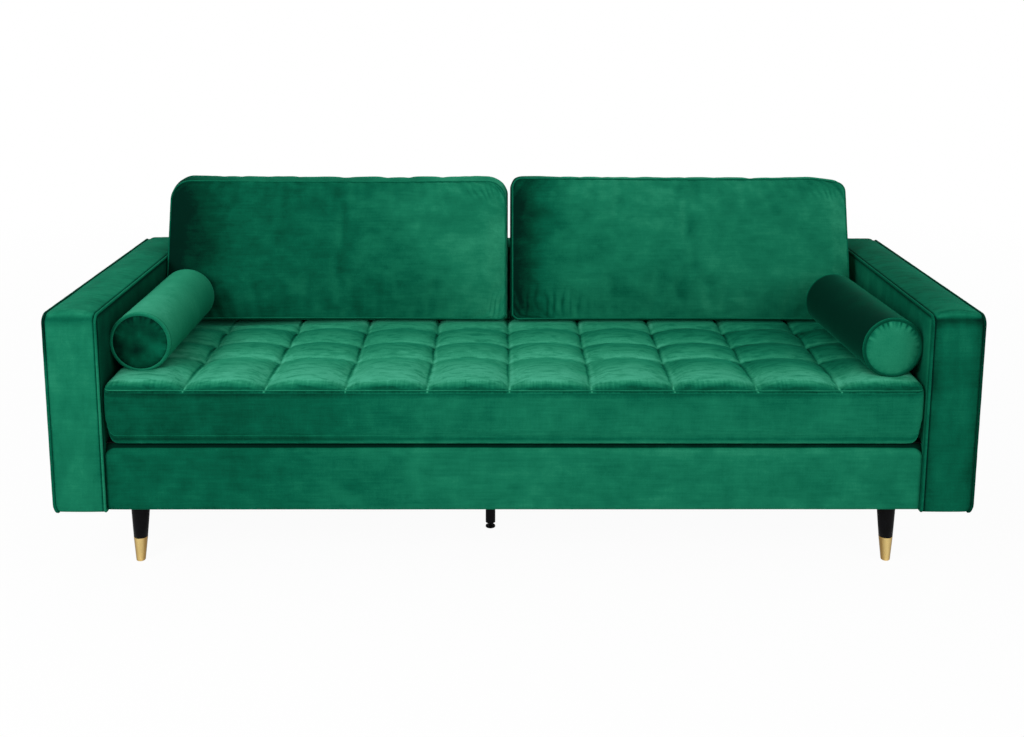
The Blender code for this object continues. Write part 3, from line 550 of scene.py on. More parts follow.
def buildSeat():
    low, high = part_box("seat_cushion")
    halfWidth, front, rear = high.x - seat["bulge"], low.y + seat["bulge"], high.y - seat["bulge"]
    middle, halfDepth, lastRing = (front + rear) / 2, (rear - front) / 2, seat["boxingRings"]
    across = [seat["cellsAcross"]] * seat["columns"]
    along = [seat["cellsFront"]] + [seat["cellsBehind"]] * (seat["rows"] - 1)

    deselectAll()
    bpy.ops.mesh.primitive_grid_add(x_subdivisions=sum(across), y_subdivisions=sum(along), size=2.0)
    cushion = bpy.context.object
    cushion.name = "seat_cushion_cover"
    bpy.ops.object.mode_set(mode="EDIT")
    choose("EDGE", lambda edge: edge.is_boundary)
    for _ in range(lastRing + seat["underRings"]):
        bpy.ops.mesh.extrude_region_move(TRANSFORM_OT_translate={"value": (0.0, 0.0, -1.0)})
    settleOrder(cushion)  # or the cloth would settle a little differently each time
    bpy.ops.object.mode_set(mode="OBJECT")

    lattice = pointsOf(cushion)
    gridX, gridY = lattice[:, 0], lattice[:, 1]
    ring = np.rint(-lattice[:, 2]).astype(int)
    column, a = cellPlace((gridX + 1) / 2, seat["columns"], across)
    row, b = cellPlace((gridY + 1) / 2, seat["rows"], along)
    sewn = (np.abs(a) == 1) | (np.abs(b) == 1) | (ring > 0)
    onRim = (np.abs(gridX) == 1) | (np.abs(gridY) == 1)
    a, b = crowd(a, seat["crowding"]), crowd(b, seat["crowding"])

    # the stitched grid and its pillows
    share = (column + (a + 1) / 2) / seat["columns"] * 2 - 1
    x = share * halfWidth + seat["shift"] * (1 - share**2)
    backRow = (rear - front - seat["frontRow"]) / (seat["rows"] - 1)
    starts = np.array([0.0] + [seat["frontRow"] + backRow * i for i in range(seat["rows"] - 1)])
    depths = np.array([seat["frontRow"]] + [backRow] * (seat["rows"] - 1))
    y = front + starts[row] + depths[row] * (b + 1) / 2
    atEnd = ((column == 0) & (a < 0)) | ((column == seat["columns"] - 1) & (a > 0))
    fullA, fullB = np.where(atEnd, 1.0, 1 - a**2), 1 - b**2
    z = seat["knot"] + seat["rowArch"] * fullA**0.8 + seat["columnArch"] * fullB**0.8
    z += seat["pillow"] * 0.6 * (fullA * fullB) ** 0.45
    rim = np.sqrt(roundRise(y - front, seat["edgeRound"]) * roundRise(rear - y, seat["edgeRound"]))
    rim *= roundRise(halfWidth - np.abs(x), seat["sideRound"])
    z = seat["topSeam"] + (z - seat["topSeam"]) * rim

    # painted light and shade: rows that darken to their rear, dark seams, light lines beside them
    behind, before = (b + 1) / 2 * depths[row], (1 - b) / 2 * depths[row]
    rightOf, leftOf = (a + 1) * halfWidth / seat["columns"], (1 - a) * halfWidth / seat["columns"]
    tones = seatTones
    tone, fade, ridge = (np.array(tones[key])[row] for key in ("rows", "rearShades", "ridgeHighlights"))
    crest = (row == 0) * (1 - smoothStep(-0.7, 0.4, b))
    gain = 1 + 1.6 * smoothStep(0.1, 0.5, x)  # the right half is painted darker, with clearer painted lines
    fade, ridge = fade * (0.5 + 0.5 * gain), ridge * gain
    tone = tone - fade * smoothStep(-0.5, 0.9, b)
    tone -= tones["rightShade"] * smoothStep(0.15, 0.9, x) * (1 - 0.9 * crest)
    tone += ridge * bell(behind - 0.010, 0.006) - tones["behindRowSeamShade"] * (row > 0) * bell(behind, 0.0025)
    tone -= tones["beforeRowSeamShade"] * (row < seat["rows"] - 1) * bell(before, 0.004)
    tone -= tones["columnSeamShade"] * bell(leftOf, 0.0040) * smoothStep(-1.0, 0.1, b) * ~atEnd
    columnEdge = tones["columnLight"] * bell(rightOf - 0.006, 0.005)
    columnEdge -= tones["columnShade"] * bell(rightOf, 0.002)
    tone += columnEdge * np.clip((y - front - 0.02) / 0.08, 0.0, 1.0)
    # painted highlight where the stitched lines cross
    toCrossing = np.minimum(behind, before) ** 2 + np.minimum(rightOf, leftOf) ** 2
    tone += tones["crossingHighlight"] * np.exp(-toCrossing / 0.006**2)
    # painted shade along the front pillows' roll-over edge
    fringe = np.clip(1 - (y - front) / (0.038 + 0.024 * (1 - fullA)), 0.0, 1.0) ** 1.2 * fullA**0.04
    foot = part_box("back_inner_panel")[0].y - backCushion["setback"]
    # painted light against the back cushions' shadow at their feet
    tone += tones["paintedLightNearFoot"] * smoothStep(foot - 0.06, foot, y) * (np.abs(x) < 0.90)

    # the boxing and its lower edge
    x += seat["drift"] * unevenness(np.stack([x, y, z], 1), 9, 4.0) * rim
    y += seat["drift"] * unevenness(np.stack([x, y, z], 1), 9, 9.0) * rim
    boxing = np.clip(ring / lastRing, 0.0, 1.0)
    under = np.clip((ring - lastRing) / seat["underRings"], 0.0, 1.0)
    side = ring > 0
    # painted shade on the boxing's left and at its seams, painted light on its underside
    boxingTone = tones["boxing"] - tones["boxingLeftShade"] * (1 - smoothStep(-0.75, -0.05, x))
    boxingTone += tones["boxingUnderLight"] * under - tones["boxingSeamShade"] * ((ring == 1) | (ring == lastRing + 1))
    tone = np.where(side, boxingTone, tone)
    fringe = np.where(side, 0.0, fringe)
    inCorner = np.clip(1 - (halfWidth - np.abs(x)) / seat["lowerRound"], 0.0, 1.0)
    lift = seat["lowerRound"] * (1 - np.sqrt(1 - inCorner**2)) * bell(y - front, 0.06)
    toLower = seat["lowerSeam"] - seat["topSeam"]
    z = np.where(side, seat["topSeam"] + toLower * (crowd(boxing * 2 - 1, 0.5) + 1) / 2, z)
    toUnder = (low.z - seat["lowerSeam"]) * np.sin(under * math.pi / 2)
    z = np.where(under > 0, seat["lowerSeam"] + toUnder, z)
    z += lift * boxing
    outset = seat["bulge"] * np.sin(math.pi * boxing) * side
    outset -= seat["underInset"] * (1 - np.cos(under * math.pi / 2))
    outset = np.where(onRim & ((ring == 0) | (ring == lastRing)), -seat["seamInset"], outset)
    x, y = roundOff(x, y - middle, halfWidth, halfDepth, seat["corner"])
    outwardX, outwardY = outwardFrom(x, y, halfWidth, halfDepth, seat["corner"])
    x += outset * outwardX
    y += outset * outwardY
    placePoints(cushion, np.stack([x, y + middle, z], 1))
    inflate(cushion, sewn, seat["pressure"], seat["looseness"])

    # pressed in under the back cushions and the bolsters
    points = pointsOf(cushion)
    x, y, top = points[:, 0], points[:, 1], ring == 0
    ceiling = seat["pressed"] + 0.03 * smoothStep(0.0, 0.09, foot - y)
    ceiling -= seat["leftHollow"] * (1 - smoothStep(-0.80, -0.42, x)) * smoothStep(-0.06, 0.0, y - foot)
    points[:, 2] = np.where(top, np.minimum(points[:, 2], ceiling), points[:, 2])
    for which, turn in bolster["turns"].items():
        centre, radius = boxOf("bolster_" + which)[2], bolster["radius"] + seat["clear"]
        fromX, fromY = x - centre.x, y - centre.y
        offset = np.abs(fromX * math.cos(turn) + fromY * math.sin(turn))
        reach = np.abs(fromY * math.cos(turn) - fromX * math.sin(turn))
        covered = (offset < radius) & (reach < bolster["length"] / 2) & top
        limit = centre.z - np.sqrt(np.maximum(radius**2 - offset**2, 0.0))
        points[:, 2] = np.where(covered, np.minimum(points[:, 2], limit), points[:, 2])
    placePoints(cushion, points)
    paint(cushion, tone)
    paint(cushion, fringe, "fringe")
    smoothOut(cushion)
    closeHoles(cushion)
    dress(cushion, "seatVelvet", "seat_cushion", ["seat_cushion"])
    for name, level in (("top", 0), ("lower", lastRing)):
        route = points[inOrder((ring == level) & onRim, gridX, gridY)]
        welt = piping("seat_cushion_seam_" + name, route, seat["cord"], True, tones["cords"][name])
        dress(welt, "seatVelvet", "seat_cushion")
    print("seat cushion made,", len(cushion.data.polygons), "faces")


# Back cushions

backCushion = {
    "setback": 0.210,  # from the back's front face to the foot
    "lean": math.radians(19.0),
    "height": 0.405,
    "thickness": 0.125,
    "crowding": 0.85,
    "frontCrown": 0.026,
    "rearCrown": 0.012,
    "topCrown": {"left": 0.024, "right": 0.014},
    "topLift": {"left": 0.005, "right": 0.014},
    "corners": {"left": 0.056, "right": 0.028},  # at the top
    "droop": {"left": 0.0, "right": 0.010},  # of the outer top corner
    "lowCorner": 0.020,
    "draw": 0.003,
    "sideCrown": 0.006,
    "footLift": 0.010,  # the front seam stands clear of the seat
    "piping": 0.0024,
    "pressure": 3.0,
    "looseness": 0.012,
    "tones": {  # painted light and shade: middle, gain to the right, shade at the left, its reach
        "left": (0.37, 0.22, 0.41, -1.05, -0.50),
        "right": (0.54, 0.0, 0.56, -1.10, -0.62),
    },
    "foldShade": 0.27,
    "gathers": {  # x, y, half width, half height, slant, spacing, depth
        "left": (
            (0.415, 0.172, 0.036, 0.020, 0.45, 0.017, 0.0014),
            (0.46, -0.16, 0.020, 0.03, -0.2, 0.014, 0.0006),
        ),
        "right": (
            (-0.37, -0.150, 0.095, 0.036, -0.05, 0.024, 0.0015),
            (0.42, 0.172, 0.035, 0.014, 0.3, 0.017, 0.0006),
        ),
    },
}


def buildBackCushion(which):
    node = "back_cushion_" + which
    low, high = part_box(node)
    halfWidth, halfHeight = (high.x - low.x) / 2, backCushion["height"] / 2
    halfThick = backCushion["thickness"] / 2
    cushion = latticeBox(node + "_cover", (12, 10), (7, 7), (10,))
    lattice = pointsOf(cushion)
    u, v, w = lattice.T
    isFront, isRear = w == 1, w == -1
    rim = (np.abs(u) == 1) | (np.abs(v) == 1)
    sewn = rim & (isFront | isRear | (v == -1))
    u2, v2 = crowd(u, backCushion["crowding"]), crowd(v, backCushion["crowding"])
    seamWidth = halfWidth - backCushion["sideCrown"] * 0.7
    corner = np.where(v > 0, backCushion["corners"][which], backCushion["lowCorner"])
    x, y = roundOff(u2 * seamWidth, v2 * halfHeight, seamWidth, halfHeight, corner)
    outX, outY = outwardFrom(x, y, seamWidth, halfHeight, corner)
    y -= np.sign(v) * backCushion["draw"] * (1 - u2 * u2) * np.abs(v2) ** 3
    y += backCushion["topLift"][which] * smoothStep(0.3, 1.0, v2)
    y -= backCushion["droop"][which] * smoothStep(0.80, 0.98, u2) * smoothStep(0.5, 1.0, v2)
    rise = np.clip((1 - u2 * u2) * (1 - v2 * v2), 0.0, 1.0) ** 0.7
    z = w * halfThick + np.where(isFront, backCushion["frontCrown"] * 0.75 * rise, 0.0)
    z -= np.where(isRear, backCushion["rearCrown"] * rise, 0.0)
    belt = (1 - w * w) * (rim & ~isFront & ~isRear)
    waves = 1.0 + 0.07 * unevenness(np.stack([u * 5, v, w], 1), 1.6, 5.0 if which == "left" else 8.0)
    upwards = np.maximum(outY, 0.0) ** 1.2
    crown = backCushion["topCrown"][which] * upwards + backCushion["sideCrown"] * (1 - upwards)
    swell = belt * waves * crown * (outY > -0.5)
    x += outX * swell
    y += outY * swell
    y += backCushion["footLift"] * (1 - smoothStep(-1.0, -0.86, v2)) * smoothStep(0.2, 1.0, w)
    placePoints(cushion, np.stack([x, y, z], 1))
    middleTone, gain, shade, *shadeReach = backCushion["tones"][which]
    tone = middleTone + gain * smoothStep(0.0, 0.8, u2) - shade * (1 - smoothStep(*shadeReach, u2))
    # painted light along the top edge, painted shade at the foot
    paint(cushion, tone + 0.06 * (v == 1) - 0.05 * (1 - smoothStep(-1.0, -0.8, v)))
    inflate(cushion, sewn, backCushion["pressure"], backCushion["looseness"])

    points = pointsOf(cushion)
    points[:, 0] = np.clip(points[:, 0], -halfWidth - 0.003, halfWidth + 0.003)
    points[:, 2] = np.maximum(points[:, 2], -halfThick - backCushion["rearCrown"] * rise)
    placePoints(cushion, points)
    seams = {
        "front": points[inOrder(isFront & rim, u, v)],
        "rear": points[inOrder(isRear & rim, u, v)],
    }
    smoothOut(cushion)
    points, tone = pointsOf(cushion), tonesOf(cushion)
    for x0, y0, wide, tall, slant, spacing, depth in backCushion["gathers"][which]:
        near = np.exp(-(((points[:, 0] - x0) / wide) ** 2) - ((points[:, 1] - y0) / tall) ** 2)
        near *= points[:, 2] > halfThick * 0.8
        turn = 2 * math.pi * (points[:, 0] + slant * points[:, 1]) / spacing
        fold = (0.5 + 0.5 * np.cos(turn + 3.4 * unevenness(points, 22, 6.0))) ** 3
        near *= np.clip(0.75 + 0.9 * unevenness(points * np.array([1.0, 0.2, 0.2]), 45, 2.0), 0.0, 1.0)
        points[:, 2] -= depth * near * fold
        # painted shade in the folds' hollows, a little painted light round them
        tone = tone - backCushion["foldShade"] * near * fold + 0.05 * near
    paint(cushion, tone)

    stand = np.array(Matrix.Rotation(math.pi / 2 - backCushion["lean"], 3, "X")).T
    foot = np.array([0.0, -halfHeight, halfThick])
    rest = np.array([(low.x + high.x) / 2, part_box("back_inner_panel")[0].y - backCushion["setback"], low.z])
    points = (points - foot) @ stand + rest
    points[:, 2] = np.maximum(points[:, 2], rest[2])
    placePoints(cushion, points)
    dress(cushion, "backVelvet", node, [node])
    for name, route in seams.items():
        route = (route - foot) @ stand + rest
        route[:, 2] = np.maximum(route[:, 2], rest[2] + backCushion["piping"])
        welt = piping(f"{node}_piping_{name}", route, backCushion["piping"], True, 0.40)
        dress(welt, "pipingVelvet", node)
    print(node, "made,", len(cushion.data.polygons), "faces")


# Bolsters

bolster = {
    "radius": 0.0755,
    "length": 0.464,
    "turns": {"left": 0.0, "right": math.radians(3.3)},  # the right one's rear end stands off the arm
    "around": 96,
    "along": 40,
    "endRings": 12,
    "dome": 0.009,
    "groove": 0.003,  # how far the end sinks beside its piping
    "piping": 0.0046,
    "gathered": {"left": 0.0007, "right": 0.0016},  # depth of the folds round the ends
    "tones": {"left": (0.72, 0.12, 0.50), "right": (-0.04, 0.67, 0.22)},  # painted light and shade: roll, ends, piping
}


def buildBolster(which):
    node = "bolster_" + which
    radius, half, dome = bolster["radius"], bolster["length"] / 2, bolster["dome"]
    place = Matrix.Translation(boxOf(node)[2]) @ Matrix.Rotation(bolster["turns"][which], 4, "Z")
    deselectAll()
    bpy.ops.mesh.primitive_cylinder_add(
        vertices=bolster["around"], radius=radius, depth=2.0, end_fill_type="NOTHING",
        rotation=(math.pi / 2, 0.0, 0.0),
    )
    roll = bpy.context.object
    roll.name = node + "_cover"
    bpy.ops.object.transform_apply(location=True, rotation=True, scale=True)
    bpy.ops.object.mode_set(mode="EDIT")
    cutAlong(1, (bolster["along"],))
    choose("EDGE", lambda edge: edge.is_boundary)
    for rings in range(bolster["endRings"], 0, -1):  # both ends, drawn in ring by ring
        bpy.ops.mesh.extrude_region_move()
        scale = (rings - 0.6) / (rings + 0.4)
        bpy.ops.transform.resize(value=(scale, 1.0, scale), center_override=(0.0, 0.0, 0.0))
    bpy.ops.object.mode_set(mode="OBJECT")

    x, level, z = pointsOf(roll).T
    distance, angle, outwards = np.hypot(x, z), np.arctan2(z, x), np.sign(level)
    end = (np.abs(level) > 0.9999) & (distance < radius * 0.9999)
    share = np.where(end, distance / radius, 1.0)
    y = crowd(level, 0.5) * (half - dome)
    beside = bell(share - 0.89, 0.03)
    bulge = dome * (1 - share**2) ** 0.6 - bolster["groove"] * beside
    around = np.stack([np.cos(angle), np.sin(angle), outwards], 1)
    rimFold = bell(share - 0.86, 0.13) * (unevenness(around, 7.0, 2.0) * 1.6)
    rimFold *= 0.35 + 0.65 * smoothStep(-0.6, 0.8, np.sin(angle))
    y += np.where(end, outwards * (bulge + bolster["gathered"][which] * rimFold), 0.0)
    swell = 1 + 0.006 * unevenness(np.stack([x, y, z], 1), 14, 3.0)
    swell -= 0.012 * (np.exp(-(half - np.abs(y)) / 0.010) * ~end)
    x, z = x * swell, z * swell
    placePoints(roll, np.stack([x, y, z], 1))

    rollTone, endTone, pipingTone = bolster["tones"][which]
    rollEdge = bell(half - dome - np.abs(y), 0.004)
    creases = np.maximum(unevenness(around, 13.0, 5.0), 0.0) * bell(share - 0.84, 0.09)
    creases *= smoothStep(-0.5, 0.7, np.sin(angle)) * (1.0 if which == "right" else 0.4)
    # painted highlights on the end folds, painted shade in the creases and beside the piping
    ends = endTone + 0.16 * rimFold - 0.9 * creases - 0.50 * beside
    if which == "left":  # a roll painted light, with patchy ends painted dark
        # painted light from one side, darker to the rear and at the roll's edge; a painted highlight low on
        # the end
        barrel = rollTone + 0.14 * np.cos(angle - math.radians(115)) - 0.12 * smoothStep(-half, half, y)
        barrel -= 0.40 * rollEdge
        ends += 0.16 * np.exp(-(((x / radius - 0.3) / 0.42) ** 2) - ((z / radius + 0.1) / 0.6) ** 2)
        places = np.stack([x, level, z], 1)
        ends += 0.26 * unevenness(places, 26, 3.0) + 0.10 * unevenness(places, 60, 6.0) + 0.03
        ends += 0.30 * np.maximum(unevenness(around, 9.0, 8.0), 0.0) * bell(share - 0.9, 0.05)
    else:  # a roll painted dark, with two painted highlights along it
        # painted highlights in two bands, and painted light along the upper edge
        barrel = rollTone + 0.42 * np.maximum(np.cos(angle - math.radians(25)), 0.0) ** 2
        barrel += 0.30 * np.maximum(np.cos(angle - math.radians(235)), 0.0) ** 8
        barrel += 0.24 * rollEdge * smoothStep(-0.2, 0.6, np.sin(angle))
    paint(roll, np.where(end, ends, barrel))
    smoothOut(roll)
    closeHoles(roll)
    roll.data.transform(place)
    dress(roll, "bolsterVelvet", node, [node])
    for name, sign in (("front", -1), ("rear", 1)):
        turn = np.linspace(0.0, 2 * math.pi, bolster["around"], endpoint=False)
        ringRadius = radius - bolster["piping"] + 0.0004
        level = np.full_like(turn, sign * (half - dome + 0.001))
        route = np.stack([ringRadius * np.cos(turn), level, ringRadius * np.sin(turn)], 1)
        welt = piping(f"{node}_piping_{name}", route, bolster["piping"], True, pipingTone)
        # painted light where the cord faces round the bolster rather than along it
        paint(welt, pipingTone + 0.30 * (1 - np.abs(normalsOf(welt)[:, 1])))
        welt.data.transform(place)
        dress(welt, "bolsterVelvet", node)
    print(node, "made,", len(roll.data.polygons), "faces")


# Arms

arm = {
    "topCorner": 0.022,
    "bottomCorner": 0.010,
    "rearCorner": 0.014,
    "crown": 0.011,
    "frontBulge": 0.0025,
    "sideBulge": 0.0012,
    "crowding": (0.55, 0.55, 0.62),
    "skin": 0.0052,
    "tuck": 0.0045,  # the panels' edges are drawn in beside the piping
    "piping": {"inner": 0.0034, "outer": 0.0038},
    "sunk": {"inner": 0.55, "outer": 0.15},  # how deep each cord lies between the panels
    "turnUnder": 0.010,  # how far the lower outer edge is rounded in
    "seamHeight": 0.658,
    "seamDepth": 0.0016,
    "tones": {  # painted light and shade per face: front, top, inner side, outer side
        "left": (0.53, 0.55, 0.16, 0.50),
        "right": (0.38, 0.39, 0.44, 0.50),
    },
    "frontShades": {  # painted shade on the front: under the seam, at the sides, less in the upper half
        "left": (0.20, 0.0, 0.08),
        "right": (0.28, 0.16, 0.0),
    },
    "pipingTones": {  # painted light and shade of the cords: along the top, down the front
        "left": {"inner": (0.44, 0.64), "outer": (0.00, 0.40)},
        "right": {"inner": (0.28, 0.40), "outer": (0.00, 0.10)},
    },
}


def armCorners(y, z, middle, centreZ):  # the outline's corner radius at each point
    upper = np.where(y < middle, arm["topCorner"], arm["rearCorner"])
    return np.where(z > centreZ, upper, arm["bottomCorner"])


def buildArm(which):
    side = -1 if which == "left" else 1
    inner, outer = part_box("arm_inner_panel_" + which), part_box("arm_outer_panel_" + which)
    lowX, highX = min(inner[0].x, outer[0].x), max(inner[1].x, outer[1].x)
    front, rear, bottom, top = inner[0].y, inner[1].y, inner[0].z, inner[1].z
    centreX, halfWidth = (lowX + highX) / 2, (highX - lowX) / 2
    middle, halfDepth = (front + rear) / 2, (rear - front) / 2
    centreZ, halfHeight = (bottom + top) / 2, (top - bottom) / 2

    cover = latticeBox("arm_cover_" + which, (14,), (8, 7), (6, 6))
    gridX, gridY, gridZ = pointsOf(cover).T
    u, v, w = (crowd(grid, amount) for grid, amount in zip((gridX, gridY, gridZ), arm["crowding"]))
    onFront, onBand, onSide = gridY == -1, (np.abs(gridY) == 1) | (np.abs(gridZ) == 1), np.abs(gridX) == 1
    facesIn, rim = gridX * side < 0, onBand & onSide
    y, z = middle + v * halfDepth, centreZ + w * halfHeight
    y, z = roundOff(y - middle, z - centreZ, halfDepth, halfHeight, armCorners(y, z, middle, centreZ))
    y, z = y + middle, z + centreZ
    bow = 1 - u * u
    z += np.where(gridZ == 1, arm["crown"] * bow * smoothStep(0.0, 0.05, rear + 0.02 - y), 0.0)
    y -= np.where(onFront, arm["frontBulge"] * bow, 0.0)
    x = centreX + u * halfWidth + np.where(onSide & ~onBand, np.sign(u) * arm["sideBulge"], 0.0)
    corners = armCorners(y, z, middle, centreZ)
    outY, outZ = outwardFrom(y - middle, z - centreZ, halfDepth, halfHeight, corners)
    tucked = arm["tuck"] * rim * (gridY < 1)
    x -= np.sign(u) * tucked
    y -= outY * tucked
    z -= outZ * tucked
    low = np.clip(1 - (z - bottom) / 0.022, 0.0, 1.0)
    x -= side * arm["turnUnder"] * low**2 * smoothStep(0.5, 1.0, u * side)
    seam = bell(z - arm["seamHeight"], 0.0022) * onFront * ~onSide
    y += arm["seamDepth"] * seam
    points = np.stack([x, y, z], 1)
    soft = unevenness(points, 7, 1.0 + side) * 0.0012 + unevenness(points, 26, 5.0 + side) * 0.0003
    placePoints(cover, points)
    points += normalsOf(cover) * (soft * ~rim)[:, None]
    points[:, 1] = np.minimum(points[:, 1], rear)
    placePoints(cover, points)

    frontTone, topTone, innerTone, outerTone = arm["tones"][which]
    # painted light and shade: lit and shaded faces get their own tones
    tone = np.where(facesIn, innerTone, outerTone)
    # painted highlight along the top's front
    bandTone = topTone + 0.10 * (1 - smoothStep(front, front + 0.12, y)) - 0.05 * (y > 0)
    tone = np.where(onBand & ~onSide, bandTone, tone)
    # painted shade on the front under its seam and towards its sides
    underSeam, atSides, higherUp = arm["frontShades"][which]
    shade = underSeam * (1 - smoothStep(0.0, 0.03, arm["seamHeight"] - z))
    shade += atSides * smoothStep(0.1, 1.0, np.abs(u)) ** 2
    shade -= higherUp * smoothStep(0.35, 0.6, z)
    tone = np.where(onFront & (z < arm["seamHeight"]) & ~onSide, frontTone - shade, tone)
    # painted light on the inner side's front edge
    tone += 0.28 * (facesIn & ~onBand) * bell(y - front, 0.016)
    fromEdge = halfWidth - np.abs(u) * halfWidth
    groove = onBand * bell(fromEdge - 0.0045, 0.0028) * np.where(u * side < 0, 1.0, 0.3)
    fromBand = np.minimum(np.minimum(y - front, top - z), np.where(gridY == 1, 1.0, rear - y))
    groove += ~onBand * bell(fromBand - 0.0060, 0.0040)
    # painted shade in the front seam and beside the piping
    paint(cover, tone - 0.40 * seam - 0.42 * groove)

    workOn(cover)  # the arm is open where the back closes it
    bpy.ops.object.mode_set(mode="EDIT")
    choose("FACE", lambda face: abs(face.normal.y) > 0.7 and all(p.co.y > rear - 0.0012 for p in face.verts))
    bpy.ops.mesh.delete(type="FACE")
    bpy.ops.object.mode_set(mode="OBJECT")
    thicken(cover, arm["skin"], 1)
    bpy.ops.object.shade_smooth()
    nodes = [f"arm_{part}_panel_{which}" for part in ("inner", "outer", "front", "top")]
    dress(cover, "armVelvet", "frame", nodes)

    outwards = np.stack([np.sign(u), outY, outZ], 1)
    under = (gridZ == -1) & (points[:, 1] < front + 0.05)
    for name, sign in (("inner", -side), ("outer", side)):
        chosen = rim & (gridX == sign) & (gridY < 1) & (onFront | (gridZ == 1) | under)
        route = (points + outwards * (arm["tuck"] - arm["piping"][name] * arm["sunk"][name]))[chosen]
        order = np.where(onFront[chosen], route[:, 2] - 10, route[:, 1])
        route = route[np.argsort(np.where(under[chosen], -20 - route[:, 1], order))]
        welt = piping(f"arm_piping_{name}_{which}", route, arm["piping"][name], False, 0.5)
        # painted light and shade on the cord, different along the top and down the front
        along, down = arm["pipingTones"][which][name]
        paint(welt, down + (along - down) * smoothStep(0.50, top - 0.01, pointsOf(welt)[:, 2]))
        dress(welt, "pipingVelvet", "frame")
    print("arm", which, "made,", len(cover.data.polygons), "faces")


# Padded front of the base

base = {
    "topRound": 0.014, "bottomRound": 0.008, "endRound": 0.014, "overEnd": 0.0025,
    "bulge": 0.002, "slope": 0.006,
}


def buildBaseFront():
    centre, half = boxOf("base_front_panel")[2:]
    cover = latticeBox("base_front_cover", (12, 12), (4,), (20,))
    u, gridY, gridZ = pointsOf(cover).T
    v, w = crowd(gridY, 0.4), crowd(gridZ, 0.6)
    onFace, onTop = gridY == -1, gridZ == 1
    radius = np.where(w > 0, base["topRound"], base["bottomRound"]) * (v < 0) + 0.0006 * (v >= 0)
    y, z = roundOff(v * half.y, w * half.z, half.y, half.z, radius)
    points = np.stack([centre.x + u * (half.x + base["overEnd"]), centre.y + y, centre.z + z], 1)
    inEnd = np.clip(1 - (1 - np.abs(u)) * half.x / base["endRound"], 0.0, 1.0)
    drop = base["slope"] + base["endRound"] * (1 - np.sqrt(1 - inEnd**2))
    points[:, 2] -= drop * smoothStep(0.9, -0.6, v) * smoothStep(0.4, 1.0, w)
    points[:, 1] -= onFace * base["bulge"] * (1 - w**4)
    soft = unevenness(points * np.array([0.6, 1, 1]), 9, 2.0) * 0.0012 + unevenness(points, 30, 6.0) * 0.0003
    points[:, 1] += np.where(onFace, soft, 0.0)
    points[:, 2] += np.where(onTop, soft, 0.0)
    # painted light: lighter to the right and near the top; painted shadow on the top under the seat
    tone = 0.33 + 0.23 * smoothStep(-0.75, -0.1, points[:, 0]) + 0.05 * smoothStep(0.6, 0.95, w)
    coverPanel(cover, points, tone - 0.6 * (onTop & ~onFace), "baseVelvet", "base_front_panel")
    print("base front made,", len(cover.data.polygons), "faces")


# Back

back = {"corner": 0.020, "piping": 0.0035, "topRound": 0.012, "fit": 0.9995}


def buildBack():
    centre, half = boxOf("back_inner_panel")[2:]
    inner = latticeBox("back_inner_cover", (10, 8), (4,), (16,))
    lattice = pointsOf(inner)
    points = lattice * np.array(half) * back["fit"] + np.array(centre)
    points[:, 1] += np.where(lattice[:, 1] == -1, unevenness(points, 6, 1.0) * 0.0015 + 0.0016, 0.0)
    coverPanel(inner, points, 0.40, "backVelvet", "back_inner_panel")

    centre, half = boxOf("back_top_panel")[2:]
    top = latticeBox("back_top_cover", (10, 8), (12,), (4,))
    u, v, w = pointsOf(top).T
    v = crowd(v, 0.5)
    y, z = roundOff(v * half.y, w * half.z, half.y, half.z, np.where(w > 0, back["topRound"], 0.001))
    points = np.stack([u * half.x * back["fit"] + centre.x, y + centre.y, z + centre.z], 1)
    points[:, 2] -= np.where(w == 1, 0.010 * v**2, 0.0)
    points[:, 2] += np.where(w == 1, unevenness(points, 7, 1.0) * 0.0010, 0.0)
    coverPanel(top, points, 0.50, "backVelvet", "back_top_panel")

    centre, half = boxOf("back_outer_panel")[2:]
    outer = latticeBox("back_outer_cover", (12, 8), (3,), (24,))
    gridX, v, gridZ = pointsOf(outer).T
    u, w, face = crowd(gridX, 0.7), crowd(gridZ, 0.6), v == 1
    x, z = roundOff(u * half.x, w * half.z, half.x, half.z, np.where(w > 0, back["corner"], 0.010))
    points = np.stack([x, v * half.y + centre.y, z + centre.z], 1)
    points[:, 1] += np.where(face, unevenness(points, 5, 3.0) * 0.0012 - 0.0012, 0.0)
    coverPanel(outer, points, 0.55, "baseVelvet", "back_outer_panel")
    rim = (np.abs(gridX) == 1) | (np.abs(gridZ) == 1)
    welt = piping("back_piping", points[inOrder(face & rim, gridX, gridZ)], back["piping"], True, 0.30)
    dress(welt, "pipingVelvet", "frame")
    print("back made")


# Webbing, deck cloth and dust cover

suspension = {
    "straps": 10,
    "wave": 0.0002,
    "lap": 0.006,  # the deck cloth lies over the front panel's upper edge
    "lapSlope": 0.35,
    "sag": 0.0025,  # of the dust cover between the rails
    "hole": 0.032,  # half a hole for a leg's plate
    "cell": 0.030,
}


def sheetOf(piece, finish, node):
    piece.data.update()
    workOn(piece)
    bpy.ops.object.shade_smooth_by_angle(angle=math.radians(40))
    dress(piece, finish, "frame", [node])


